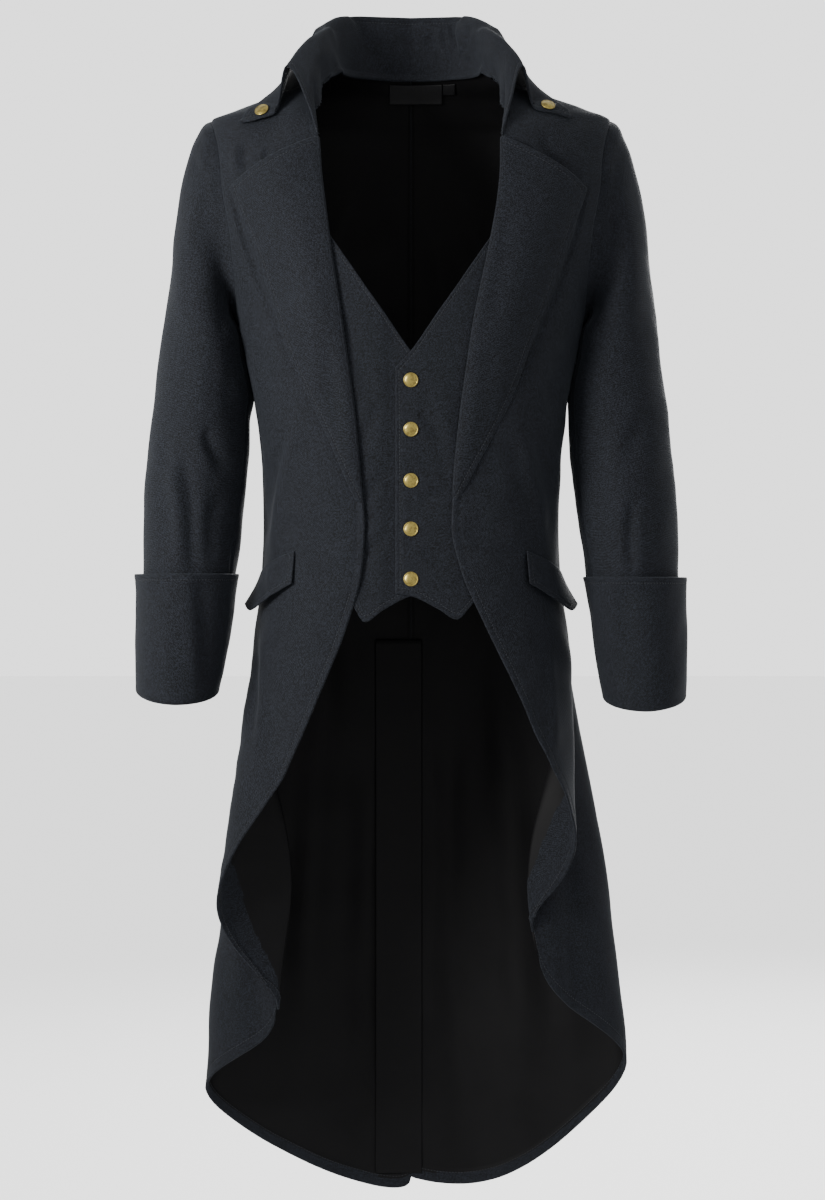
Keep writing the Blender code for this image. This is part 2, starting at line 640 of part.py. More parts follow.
def pocket_flap(side, name, look):
    turn = np.linspace(FLAP["turn"][0], FLAP["turn"][-1], FLAP_COLUMNS)
    top = smooth(turn, FLAP["turn"], FLAP["top"])
    bottom = smooth(turn, FLAP["turn"], FLAP["bottom"])
    top_lift = smooth(turn, FLAP["turn"], FLAP["top_lift"])
    bottom_lift = smooth(turn, FLAP["turn"], FLAP["bottom_lift"])
    share = np.linspace(0, 1, FLAP_ROWS)[:, None]
    drop = top * (1 - share) + bottom * share
    lift = top_lift * (1 - share) + bottom_lift * share + COAT_CLOTH
    points, normals = surface(side, np.broadcast_to(turn, drop.shape), drop, lift)
    wall("pocket_flap_" + name, points, normals, COAT_CLOTH, look)


def stud(name, seat, normal, look):
    """Press stud: a disc with a rolled rim and a low dome."""
    around = np.linspace(0, 2 * np.pi, STUD_SEGMENTS, endpoint=False)
    up = np.array([0.0, 0.0, 1.0])
    first = unit(np.cross(up, normal))
    second = np.cross(normal, first)
    ring = np.cos(around)[:, None] * first + np.sin(around)[:, None] * second
    rows = [seat + ring * STUD_RADIUS * reach + normal * STUD_HEIGHT * rise
            for reach, rise in zip(STUD_PROFILE["reach"], STUD_PROFILE["rise"])]
    vertices = np.concatenate(rows + [(seat + normal * STUD_HEIGHT)[None, :], seat[None, :]])
    faces = [tuple(face) for face in quads(len(rows), STUD_SEGMENTS, 0, True)]
    top = len(rows) * STUD_SEGMENTS
    for i in range(STUD_SEGMENTS):
        after = (i + 1) % STUD_SEGMENTS
        faces.append((top - STUD_SEGMENTS + i, top - STUD_SEGMENTS + after, top))
        faces.append((after, i, top + 1))
    add_mesh(name, vertices, faces, look)


def front_studs(look):
    for number, drop in enumerate(FRONT_STUD_DROPS, start=1):
        drop = np.array(drop)
        turn = turn_of(np.array(FRONT_STUD_ACROSS), drop)
        tuck = smooth(FRONT_STUD_ACROSS, WAISTCOAT["across"], WAISTCOAT["tuck"])
        seat, normal = surface(LEFT, turn, drop, -tuck + SEAM_GAP)
        stud("front_stud_%d" % number, seat, normal, look)


def collar_studs(points, normals, look):
    """Studs on the collar points, at a share of the way from the foot to the tip."""
    rows, columns = points.shape[:2]
    foot = COLLAR_AT[-2]
    share = foot + (1 - foot) * COLLAR_STUD_SHARE
    row = share * (rows - 1)
    low = int(row)
    part = row - low
    for name, column, inward in (("right", 0, 1), ("left", columns - 1, -1)):
        beside = points[:, column + inward]
        seats = points[:, column] * (1 - COLLAR_STUD_INSET) + beside * COLLAR_STUD_INSET
        seat = seats[low] * (1 - part) + seats[low + 1] * part
        normal = -normals[low, column] * (1 - part) - normals[low + 1, column] * part
        normal = unit(normal)
        if normal[2] < 0:
            normal = -normal
        stud("collar_stud_" + name, seat + normal * STUD_SEAT, normal, look)


def label(name, size, look):
    """Small cloth label on the inner face of the backs, below the neck seam."""
    left, right, top, bottom = size
    across = np.linspace(left, right, LABEL_COLUMNS)[None, :]
    drop = np.linspace(top, bottom, LABEL_ROWS)[:, None]
    across, drop = np.broadcast_arrays(across, drop)
    half, _, _, _ = body_ring(drop)
    turn = 180 - np.degrees(np.arcsin(across / half))
    inset = COAT_CLOTH + LAID_GAP + LABEL_HANG * (drop - top) / LABEL_DEPTH
    points, normals = surface(LEFT, turn, drop, -inset)
    wall(name, points, normals, LABEL_CLOTH, look)


def clear_scene():
    for old in list(bpy.data.objects):
        bpy.data.objects.remove(old, do_unlink=True)


def main():
    clear_scene()
    cloth = material("coat_cloth", CLOTH_COLOUR, 0.85)
    waistcoat_cloth = material("waistcoat_cloth", WAISTCOAT_COLOUR, 0.85)
    brass = material("aged_brass", BRASS_COLOUR, 0.38, 1.0)
    ribbon = material("label_ribbon", LABEL_COLOUR, 0.7)
    for side, name in SIDES:
        front(side, name, cloth)
        back(side, name, cloth)
        sleeve(side, name, cloth)
        lapel(side, name, cloth)
        waistcoat(side, name, waistcoat_cloth)
        pocket_flap(side, name, cloth)
    vent_underlap(cloth)
    points, normals = collar(cloth)
    front_studs(brass)
    collar_studs(points, normals, brass)
    label("neck_label", LABEL, ribbon)
    label("size_tab", SIZE_TAB, ribbon)


main()
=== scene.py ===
"""Looks of the black tailcoat: cloth with creases, seams, hems, stitching, studs, light and camera.

Metres, +Z up, the front faces -Y and the wearer's right is at -X.
A place on the coat's body is a turn, in degrees from centre front, and a drop below the neck seam.
"""

import bpy
import numpy as np
from bpy.props import FloatProperty, FloatVectorProperty, PointerProperty
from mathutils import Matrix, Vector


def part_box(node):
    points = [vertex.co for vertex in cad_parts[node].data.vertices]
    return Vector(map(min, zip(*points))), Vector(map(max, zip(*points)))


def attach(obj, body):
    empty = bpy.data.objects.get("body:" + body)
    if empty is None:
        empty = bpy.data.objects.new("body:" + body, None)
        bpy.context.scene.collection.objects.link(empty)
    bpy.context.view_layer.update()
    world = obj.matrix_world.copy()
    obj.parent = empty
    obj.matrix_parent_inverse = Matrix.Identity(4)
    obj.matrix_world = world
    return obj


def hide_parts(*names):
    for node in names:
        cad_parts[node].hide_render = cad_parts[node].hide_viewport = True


bl_info = {
    "name": "Tailcoat looks",
    "version": (1, 0, 0),
    "blender": (4, 5, 0),
    "location": "3D View > Sidebar > Tailcoat",
    "description": "Builds the cloth, stitching, studs and stage of a black tailcoat",
    "category": "Object",
}

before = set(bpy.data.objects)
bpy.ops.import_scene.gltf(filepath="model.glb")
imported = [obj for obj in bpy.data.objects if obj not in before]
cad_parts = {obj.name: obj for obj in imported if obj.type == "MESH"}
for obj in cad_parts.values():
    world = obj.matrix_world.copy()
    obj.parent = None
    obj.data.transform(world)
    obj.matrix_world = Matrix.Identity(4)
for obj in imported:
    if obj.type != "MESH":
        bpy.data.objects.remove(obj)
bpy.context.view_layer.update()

RIGHT = -1
LEFT = 1
SIDES = {RIGHT: "right", LEFT: "left"}

# Main sizes in metres, the steps of turn and drop that give a slope, and how points crowd at edges
NECK_LEVEL = 0.041
COLLAR_CLOTH = 0.0022
COAT_CLOTH = 0.0018
WAISTCOAT_CLOTH = 0.0016
LABEL_CLOTH = 0.0010
STEP_TURN = 0.5
STEP_DROP = 0.0015
ROW_PITCH = 0.0050
PANEL_COLUMNS = 66
EDGE_CROWD = 0.72
SMALL_CROWD = 0.6
LOW_CROWD = 0.5
# Width of the paler band at the cloth's edges, partly wear and partly a painted highlight
WEAR_AND_HIGHLIGHT_WIDTH = 0.004


def table(columns, rows):
    """A table with named columns, a row for each section."""
    values = np.array(rows, dtype=float)
    return dict(zip(columns.split(), values.T))


# Level rings of the body, from the neck seam to the hem of the tails
BODY = table("drop half_width front_depth back_depth squareness", (
    (-0.004, 0.080, 0.040, 0.072, 2.00),
    (0.006, 0.095, 0.046, 0.079, 2.00),
    (0.018, 0.130, 0.055, 0.087, 2.00),
    (0.030, 0.160, 0.064, 0.092, 2.00),
    (0.043, 0.194, 0.075, 0.097, 2.00),
    (0.053, 0.219, 0.083, 0.101, 2.05),
    (0.075, 0.228, 0.098, 0.107, 2.10),
    (0.110, 0.229, 0.112, 0.113, 2.20),
    (0.150, 0.223, 0.121, 0.117, 2.30),
    (0.200, 0.211, 0.128, 0.119, 2.30),
    (0.265, 0.192, 0.130, 0.117, 2.30),
    (0.320, 0.1805, 0.128, 0.112, 2.30),
    (0.360, 0.1725, 0.126, 0.108, 2.30),
    (0.385, 0.1685, 0.124, 0.105, 2.30),
    (0.440, 0.1635, 0.120, 0.100, 2.30),
    (0.500, 0.1625, 0.117, 0.098, 2.30),
    (0.560, 0.165, 0.118, 0.103, 2.30),
    (0.650, 0.179, 0.122, 0.118, 2.20),
    (0.750, 0.195, 0.127, 0.130, 2.20),
    (0.850, 0.207, 0.131, 0.138, 2.20),
    (1.000, 0.228, 0.136, 0.148, 2.20),
    (1.120, 0.237, 0.139, 0.155, 2.20),
    (1.260, 0.242, 0.142, 0.162, 2.20)))

# The deep flute at the side of each tail: a valley between a front lobe and a back lobe
FLUTE = table("turn spread right_depth left_depth", (
    (92, 13, -0.084, -0.087),
    (67, 14, 0.010, -0.018),
    (114, 14, 0.014, 0.028),
    (150, 12, -0.010, -0.008)))
FLUTE_START = 0.60
FLUTE_FULL = 0.93

# Seams that the fronts and backs share, by station: the armhole, then the side seam
ARMHOLE = table("front_turn back_turn drop", (
    (90.0, 90.0, 0.053),
    (72.0, 108.0, 0.066),
    (62.5, 117.0, 0.115),
    (62.0, 118.0, 0.165),
    (67.0, 113.5, 0.220),
    (80.0, 104.0, 0.262),
    (94.0, 94.0, 0.280)))
SIDE_TURN = 92.5
SIDE_SWING = 2
SIDE_SEAM = (0.0, 0.067, 0.137, 0.213, 0.293, 0.373, 0.480, 0.587, 0.693, 0.800, 1.000)
SIDE_HEM = {RIGHT: 1.030, LEFT: 0.945}

# The front edge by station: neckline, roll line, cut-away and hem
FRONT_EDGE = table("right_turn right_drop left_turn left_drop", (
    (90.0, -0.004, 90.0, -0.004),
    (47.0, 0.020, 47.0, 0.020),
    (29.5, 0.048, 29.2, 0.048),
    (25.9, 0.080, 25.3, 0.080),
    (24.2, 0.155, 24.3, 0.155),
    (23.6, 0.235, 22.4, 0.235),
    (22.8, 0.292, 20.7, 0.292),
    (21.7, 0.345, 19.4, 0.345),
    (20.7, 0.395, 18.1, 0.395),
    (19.7, 0.445, 16.8, 0.445),
    (17.8, 0.500, 15.8, 0.500),
    (18.8, 0.550, 18.8, 0.545),
    (23.5, 0.608, 26.0, 0.598),
    (31.0, 0.675, 35.5, 0.662),
    (42.0, 0.765, 49.5, 0.758),
    (61.0, 0.855, 68.0, 0.826),
    (86.0, 1.000, 87.5, 0.922)))

# The back edge by station: back neckline, then centre back
BACK_EDGE = table("turn drop", (
    (90, -0.004), (120, -0.004), (152, -0.004), (180, -0.004), (180, 0.100), (180, 0.200),
    (180, 0.282), (180, 0.337), (180, 0.393), (180, 0.452), (180, 0.515), (180, 0.580),
    (180, 0.670), (180, 0.770), (180, 0.890), (180, 1.040), (180, 1.238)))

# Stations where the neck seam and the closed part of the centre back end, and the tail's hem
NECK_END = 3
NECK_FRONT_END = 2.4
NECK_SINK = 0.0004
VENT_STATION = 11.5
SEWN_SOFT = 0.15
HEM_BOW = {RIGHT: 0.054, LEFT: 0.098}
HEM_ROUND = {RIGHT: (0.45, 0.45), LEFT: (0.90, 0.30)}
HEM_FROM = 11
HEM_ROWS_MORE = 1.15
HEM_ROWS_CROWD = 1.35

# Strip behind the vent
VENT_TOP = 0.625
VENT_LAP = 0.040
VENT_TUCK = 0.012
VENT_SHORT = 0.004
VENT_ROWS = 120
VENT_COLUMNS = 20
VENT_GAP = 0.0006
LAID_GAP = 0.0009

# Lapels: the outer edge against the drop of the roll line, then the roll and the facing behind it
LAPEL = table("roll_drop right_turn right_drop left_turn left_drop", (
    (0.083, 55.9, 0.134, 53.5, 0.137),
    (0.130, 52.6, 0.168, 50.8, 0.166),
    (0.190, 49.4, 0.210, 48.4, 0.210),
    (0.250, 47.5, 0.255, 46.2, 0.254),
    (0.310, 44.2, 0.307, 41.2, 0.310),
    (0.360, 38.6, 0.354, 37.0, 0.360),
    (0.410, 31.4, 0.401, 30.2, 0.405),
    (0.445, 25.6, 0.441, 23.4, 0.442),
    (0.474, 20.6, 0.474, 18.2, 0.472)))
LAPEL_COLUMNS = 44
LAPEL_PITCH = 0.0036
LAPEL_STAND = COAT_CLOTH + 0.0007
LAPEL_BULGE = 0.0055
LAPEL_ROLL = 0.7
LAPEL_SINK = 0.0022
LAPEL_SINK_FROM = 0.452
LAPEL_SINK_RUN = 0.022
ROLL_COLUMNS = 11
EDGE_POINTS = 1200
FACING_COLUMNS = 8
FACING_WIDTH = 12.0
FACING_GAP = 0.0010

# Sleeves: rings from below the cap to the end, then the cap, the gathered head and the two seams
SLEEVE = table("outer_height inner_height outer inner fore aft fore_hang", (
    (-0.200, -0.272, 0.2670, 0.1840, -0.062, 0.078, 0.000),
    (-0.270, -0.320, 0.2750, 0.1742, -0.062, 0.076, 0.000),
    (-0.345, -0.370, 0.2840, 0.1755, -0.066, 0.066, 0.000),
    (-0.430, -0.435, 0.2925, 0.1840, -0.074, 0.052, 0.000),
    (-0.500, -0.500, 0.2945, 0.1920, -0.080, 0.040, 0.000),
    (-0.570, -0.570, 0.2960, 0.2015, -0.086, 0.028, 0.005),
    (-0.638, -0.640, 0.2965, 0.2120, -0.090, 0.018, 0.013)))
SLEEVE_EXTRA = {RIGHT: 0.000, LEFT: 0.007}
SLEEVE_ROWS = 92
CAP_ROWS = 44
CAP_PUSH = 0.095
CAP_RISE = 0.45
CAP_UNDER = 1.0
CAP_LENGTH = 0.16
CAP_LOOK = 0.03
CAP_FALL = 0.150
CAP_CROWD = 1.25
HEAD_RISE = 0.0016
HEAD_AT = 0.010
HEAD_WIDTH = 0.007
HEAD_POWER = 0.5
FRONT_STEEPNESS = 2.2
HIND_SEAM = 1.42 * np.pi
FORE_SEAM = 0.86 * np.pi
SLEEVE_SEAM_SHARE = 0.9

# Cuffs: swell over the sleeve against the share of its length, then the turn at the bottom
CUFF = table("share outer_step inner_step depth_step", (
    (0.694, 0.0062, 0.0048, 0.0060),
    (0.750, 0.0056, 0.0044, 0.0052),
    (0.870, 0.0050, 0.0038, 0.0040),
    (0.992, 0.0036, 0.0028, 0.0030)))
CUFF_ROWS = 40
CUFF_TURN_ROWS = 9
CUFF_RETURN_ROWS = 7
CUFF_INSIDE = 0.0042
CUFF_RETURN = 0.055
CUFF_LIP = 0.0012
CUFF_LIP_RUN = 0.010

# Collar lines above the neck seam, from centre back to the front edge
COLLAR = table("rise_x rise_y rise_z crest_x crest_y crest_z foot_x foot_y foot_z tip_x tip_y tip_z", (
    (0.000, 0.077, 0.064, 0.000, 0.081, 0.082, 0.000, 0.083, 0.096, 0.000, 0.084, 0.110),
    (0.047, 0.064, 0.064, 0.049, 0.068, 0.083, 0.052, 0.071, 0.099, 0.055, 0.074, 0.113),
    (0.076, 0.030, 0.067, 0.080, 0.037, 0.092, 0.090, 0.043, 0.106, 0.104, 0.058, 0.070),
    (0.084, 0.012, 0.066, 0.092, 0.021, 0.088, 0.106, 0.029, 0.086, 0.121, 0.046, 0.026),
    (0.092, -0.008, 0.063, 0.103, 0.003, 0.083, 0.120, 0.009, 0.062, 0.137, 0.028, 0.019),
    (0.105, -0.040, 0.041, 0.120, -0.024, 0.064, 0.135, -0.028, 0.034, 0.153, -0.021, 0.013),
    (0.112, -0.081, -0.003, 0.134, -0.051, 0.040, 0.149, -0.066, -0.018, 0.187, -0.058, -0.022)))
NECK_STATIONS = (0.0, 1.2, 2.25, 2.8, 3.35, 4.6, 6.0)
COLLAR_LINES = ("rise", "crest", "foot", "tip")
COLLAR_AT = (0.0, 0.28, 0.56, 0.80, 1.0)
COLLAR_LEFT_TUCK = {"rise": 0.004, "crest": 0.013, "foot": 0.013, "tip": 0.013}
COLLAR_LEFT_FULL = 2.4
COLLAR_LEFT_LIFT = 0.004
COLLAR_CLEAR = 0.0034
COLLAR_ROWS = 56
COLLAR_ROW_CROWD = 0.35
COLLAR_COLUMNS = 84
COLLAR_EVEN = 0.45
COLLAR_STAND_OFF = 0.0010
# How deep the collar's base reaches below the neck seam behind the shoulders, and its two rows
COLLAR_TUCK = 0.0040
COLLAR_TUCK_SOFT = 0.02
COLLAR_TUCK_ROWS = np.array([1.0, 0.5])[:, None, None]
# Height of the collar's top edge and fold along the neck seam, as far as COLLAR_TOP_END
COLLAR_TOP = table("at right left", (
    (0.0, 0.1136, 0.1136), (1.2, 0.1140, 0.1126), (1.7, 0.1118, 0.1093), (2.0, 0.1090, 0.1060),
    (2.3, 0.1030, 0.1010), (2.6, 0.0962, 0.0950), (2.9, 0.0905, 0.0898), (3.2, 0.0858, 0.0856),
    (3.5, 0.0812, 0.0812), (6.0, 0.0412, 0.0412)))
COLLAR_TOP_END = 3.6
COLLAR_TOP_SOFT = 0.4
SHOULDER_SEARCH = 0.25
HALVINGS = 24

# False waistcoat: top and bottom edge against the place across
WAISTCOAT = table("across top bottom_right bottom_left tuck", (
    (-0.018, 0.334, 0.572, 0.572, 0.0036),
    (0.000, 0.315, 0.575, 0.575, 0.0036),
    (0.030, 0.272, 0.590, 0.589, 0.0034),
    (0.050, 0.244, 0.603, 0.600, 0.0031),
    (0.063, 0.225, 0.585, 0.588, 0.0029),
    (0.084, 0.195, 0.560, 0.560, 0.0028),
    (0.105, 0.165, 0.535, 0.535, 0.0028)))
WAISTCOAT_OVERLAP = 0.016
WAISTCOAT_UNDERLAP = 0.020
WAISTCOAT_STEP = 0.0025
WAISTCOAT_BLEND = 0.020
WAISTCOAT_HIGHEST = 0.0008
WAISTCOAT_COLUMNS = 52
WAISTCOAT_ROWS = 96

# Pocket flaps: corners as turn and drop, and how far each stands off the coat
FLAP = table("turn top bottom top_lift bottom_lift", (
    (47.0, 0.528, 0.562, 0.0004, 0.0030),
    (60.0, 0.537, 0.578, 0.0004, 0.0060),
    (74.0, 0.547, 0.592, 0.0004, 0.0100),
    (86.0, 0.556, 0.586, 0.0004, 0.0135)))
FLAP_COLUMNS = 40
FLAP_ROWS = 24

# Ribbon and sewing thread: the pitch of the ribs, and each one's dark and light colour
RIB_PITCH = 0.0007
RIBBON_COLOURS = ((0.0010, 0.0010, 0.0012), (0.0040, 0.0040, 0.0046))
THREAD_COLOURS = ((0.0022, 0.0025, 0.0033), (0.0080, 0.0090, 0.0115))

# Studs
STUD_RADIUS = 0.0080
STUD_HEIGHT = 0.0027
STUD_SEGMENTS = 56
STUD_PROFILE = table("reach rise", (
    (0.00, -0.30), (0.86, -0.30), (0.93, -0.05), (0.985, 0.12), (1.00, 0.30), (0.985, 0.50),
    (0.945, 0.62), (0.90, 0.66), (0.86, 0.62), (0.835, 0.55), (0.81, 0.56), (0.76, 0.65),
    (0.66, 0.78), (0.50, 0.90), (0.30, 0.98), (0.00, 1.00)))
FRONT_STUD_DROPS = (0.3455, 0.398, 0.4525, 0.504, 0.5575)

# Label and size tab, inside the back neck: left and right end, top and bottom drop
LABEL = (-0.0245, 0.0355, 0.0020, 0.0210)
SIZE_TAB = (0.0370, 0.0500, 0.0020, 0.0110)
LABEL_HANG = 0.0024
LABEL_DEPTH = 0.019
LABEL_BELLY = 0.0004
LABEL_COLUMNS = 30
LABEL_ROWS = 16

# Where the sleeve lies against the body under the arm: levels, and how far it is pressed out
CONTACT_TOP = -0.215
CONTACT_END = -0.345
CONTACT_PRESS = 0.0016
CONTACT_DEEPEST = -0.246
CONTACT_DEEPER = 0.0038
CONTACT_SPREAD = 0.017
CONTACT_SOFT = 0.03
CONTACT_REACH = 0.02
CONTACT_ROUND = 0.45
CONTACT_ROUND_SOFT = 0.35

# Lights: name, place, aim, size, power, colour and the width of the cone in radians
COAT_MIDDLE = (0.0, 0.0, -0.45)
LIGHTS = (
    ("key", (-1.55, -1.2, 0.0), (0.0, 0.0, -0.36), 0.8, 27.0, (1.0, 0.99, 0.97), 1.3),
    ("fill", (2.6, -2.6, 0.4), COAT_MIDDLE, 2.4, 10.0, (0.95, 0.97, 1.0), np.pi),
    ("rim", (1.6, 6.5, 1.6), COAT_MIDDLE, 3.0, 140.0, (1.0, 1.0, 1.0), 1.3))
FLOOR_REACH = 40.0
SENSOR_WIDTH = 36.0

# Seams and hems
SEAM_SINK = 0.0011
SEAM_SOFT = 0.0026
HEM_DEPTH = 0.0125
HEM_STEP = 0.0012
HEM_THICK = 0.0009
FACING_DEPTH = 0.044

# Stitches: the dip that they pull, and how far inside its edge each row lies
STITCH_SINK = 0.00045
STITCH_SOFT = 0.0017
INSET = {"coat": 0.007, "lapel": 0.0065, "collar": 0.0065, "cuff": 0.006, "waistcoat": 0.006,
         "flap": 0.0055, "placket": 0.0045}
# Share of each edge's length at which its stitches start, and where the placket's also stop
SEWN_FROM = {"front": 0.55, "back": 0.62, "lapel": 0.32}
PLACKET_SEWN = (0.06, 0.97)
# A thread's cross sections along one stitch: place, thickness and height against its radius
THREAD = table("along fat rise", (
    (-0.5, 0.35, -0.9), (-0.3, 0.9, 0.25), (0.0, 1.0, 0.55), (0.3, 0.9, 0.25), (0.5, 0.35, -0.9)))
THREAD_SIDES = 6
THREAD_WIDTH = 1.25

# How far from a seam or an edge the creases and waves reach their full depth
CALM = {"panel": 0.03, "sleeve": 0.035, "cuff": 0.02, "lapel": 0.02, "collar": 0.02,
        "placket": 0.012, "waistcoat": 0.03, "flap": 0.01}

# Creases: shares of the length over which they fade in and out, and the swell beside them
FADE_IN = 0.28
FADE_OUT = 0.35
FADE_AHEAD = 0.25
SWELL_SHARE = 0.45
SWELL_AWAY = 1.7

# Creases by piece, in millimetres as seen from the front: the two ends, the bow to a side,
# the half width, the depth (below zero for a trough) and the side that it is on, 1 for the front
CREASES = {
    "right_front": (
        (-122, -352, -152, -500, 6, 6.5, 2.6, 1),
        (-134, -350, -161, -480, 5, 8.0, -2.2, 1),
        (-181, -44, -178, -78, 2, 6.0, -3.6, 1),
        (-156, -50, -156, -74, 1, 2.4, -2.4, 1),
        (-164, -585, -167, -700, -2, 4.0, 2.2, 1),
        (-172, -560, -175, -690, -2, 4.5, -2.4, 1),
        (-108, -470, -140, -455, 4, 7.0, -1.2, 1),
        (-199, -84, -124, -290, 6, 3.0, -3.2, 1),
        (-150, -640, -130, -760, 6, 13.0, -2.2, 1),
        (-182, -255, -150, -330, -8, 9.0, -2.0, 1)),
    "left_front": (
        (112, -350, 148, -500, -6, 8.0, 1.8, 1),
        (126, -345, 158, -480, -5, 9.0, -1.8, 1),
        (141, -40, 160, -80, 3, 7.0, -2.8, 1),
        (66, -478, 120, -492, 3, 6.0, -1.4, 1),
        (192, -84, 106, -318, -10, 3.0, -3.0, 1),
        (152, -590, 158, -700, 2, 5.0, 1.8, 1),
        (140, -620, 118, -740, -6, 13.0, -2.0, 1),
        (180, -250, 148, -335, 8, 9.0, -2.2, 1)),
    "right_back": (
        (-60, -70, -96, -260, 10, 13.0, -2.2, -1),
        (-150, -190, -80, -360, -16, 12.0, -2.6, -1),
        (-140, -400, -50, -425, -5, 8.0, -2.4, -1),
        (-150, -440, -70, -455, 5, 8.0, 1.6, -1),
        (-90, -560, -120, -1050, 8, 16.0, -4.0, -1),
        (-50, -700, -62, -1180, -6, 15.0, 3.4, -1),
        (-150, -760, -168, -1060, 8, 12.0, -3.2, -1),
        (-30, -150, -34, -420, 4, 10.0, -1.4, -1)),
    "left_back": (
        (58, -80, 92, -270, -10, 13.0, -2.0, -1),
        (152, -200, 84, -350, 16, 12.0, -2.6, -1),
        (136, -404, 52, -420, 5, 8.0, -2.2, -1),
        (8, -900, 12, -1190, 2, 9.0, -3.4, -1),
        (46, -640, 58, -1160, 7, 15.0, 3.6, -1),
        (96, -600, 128, -1120, -9, 17.0, -4.2, -1),
        (160, -760, 182, -1050, -7, 12.0, -3.0, -1),
        (30, -140, 36, -410, -4, 10.0, -1.4, -1)),
    "right_sleeve": (
        (-215, -38, -214, -78, 3, 3.6, -2.6, 1),
        (-212, -82, -210, -104, 1, 3.0, -1.8, 1),
        (-226, -42, -221, -76, 3, 4.5, 1.6, 1),
        (-202, -160, -192, -360, -5, 9.5, -0.9, 1),
        (-222, -352, -199, -398, 4, 7.0, -3.4, 1),
        (-248, -380, -235, -515, -4, 8.5, -3.4, 1),
        (-262, -384, -250, -500, -4, 9.0, 2.0, 1),
        (-268, -362, -259, -402, 3, 7.0, -2.0, 1),
        (-268, -150, -254, -260, 6, 14.0, -2.0, 1),
        (-206, -420, -214, -500, 4, 8.0, -2.0, 1),
        (-260, -300, -205, -350, 8, 8.0, -3.4, -1),
        (-268, -350, -208, -385, 8, 8.0, -3.0, -1),
        (-230, -150, -214, -270, 5, 11.0, -3.0, -1),
        (-250, -410, -236, -505, 4, 9.0, -2.6, -1)),
    "left_sleeve": (
        (219, -120, 205, -225, -5, 9.5, -3.4, 1),
        (200, -240, 189, -370, 4, 9.0, -0.9, 1),
        (240, -426, 238, -512, 2, 6.0, -2.2, 1),
        (250, -430, 248, -512, 2, 7.0, 1.4, 1),
        (205, -352, 219, -500, 6, 11.0, -2.8, 1),
        (262, -330, 236, -392, 6, 9.0, -2.2, 1),
        (266, -150, 252, -262, -6, 14.0, -2.0, 1),
        (216, -34, 213, -100, -3, 7.0, -2.2, 1),
        (258, -310, 206, -352, -8, 8.0, -3.2, -1),
        (266, -356, 210, -392, -8, 8.0, -3.0, -1),
        (230, -160, 214, -280, -5, 11.0, -3.0, -1),
        (252, -410, 238, -500, -4, 9.0, -2.4, -1)),
    "right_cuff": (
        (-228, -508, -222, -640, -3, 9.0, -2.2, 1),
        (-262, -520, -256, -640, 3, 15.0, 1.2, 1)),
    "left_cuff": (
        (228, -520, 240, -600, 3, 10.0, -1.8, 1),
        (262, -530, 266, -640, 3, 15.0, 1.2, 1)),
    "right_lapel": (
        (-120, -110, -100, -260, 5, 16.0, 1.2, 1),
        (-90, -260, -72, -380, 4, 10.0, -0.9, 1)),
    "left_lapel": (
        (120, -110, 100, -260, -5, 16.0, 1.2, 1),
        (84, -270, 68, -390, -4, 10.0, -0.9, 1)),
    "right_waistcoat": (
        (-70, -230, -40, -330, 4, 9.0, -1.4, 1),
        (-30, -330, -52, -372, 3, 6.0, -1.3, 1),
        (-24, -400, -50, -436, 3, 6.0, -1.2, 1),
        (-24, -470, -54, -500, 3, 7.0, -1.4, 1),
        (-52, -420, -46, -540, 3, 9.0, -1.6, 1)),
    "left_waistcoat": (
        (8, -335, 40, -368, 3, 5.5, -1.5, 1),
        (8, -388, 42, -402, 3, 5.5, -1.2, 1),
        (8, -438, 44, -424, -3, 6.0, -1.5, 1),
        (12, -486, 52, -500, 3, 6.5, -1.4, 1),
        (30, -300, 60, -420, 5, 9.0, 1.1, 1)),
    "right_flap": ((-153, -498, -150, -545, 1, 4.0, 1.4, 1),),
    "left_flap": ((153, -498, 150, -545, 1, 5.0, -0.9, 1),),
    "tall_collar": (
        (30, 104, 42, 62, 2, 3.6, -2.6, -1),
        (44, 106, 50, 70, -2, 3.2, 2.4, -1),
        (56, 102, 66, 60, 3, 4.0, -2.8, -1),
        (66, 100, 60, 66, -3, 2.6, 1.6, -1),
        (20, 96, 24, 72, 2, 4.0, 1.2, -1),
        (-40, 106, -38, 70, 2, 6.0, -0.9, -1)),
}

# Long soft waves that keep the cloth from looking drawn, and each piece's seed and strength
WAVES = table("length depth", (
    (0.210, 0.0012), (0.150, 0.0009), (0.098, 0.0007), (0.064, 0.00042), (0.041, 0.00026),
    (0.027, 0.00014)))
WAVE_LEAN = (1.0, 0.6, 0.7)
WAVE_BEND = 1.3
WAVE_SLOWER = 2.7
WAVE_START = 6
WAVE_OF = {
    "right_front": (18, 1.0), "left_front": (31, 1.0), "right_back": (17, 1.0),
    "left_back": (30, 1.0), "right_sleeve": (30, 1.0), "left_sleeve": (32, 1.0),
    "right_cuff": (40, 0.8), "left_cuff": (42, 0.8), "right_lapel": (50, 0.8),
    "left_lapel": (52, 0.8), "tall_collar": (61, 0.6), "right_waistcoat": (70, 0.35),
    "left_waistcoat": (72, 0.35), "right_flap": (80, 0.3), "left_flap": (82, 0.3),
    "vent_strip": (5, 0.25)}

# Filled while the pieces are made: the outer grid and normals of each cloth wall, and the
# materials
grids = {}
looks = {}


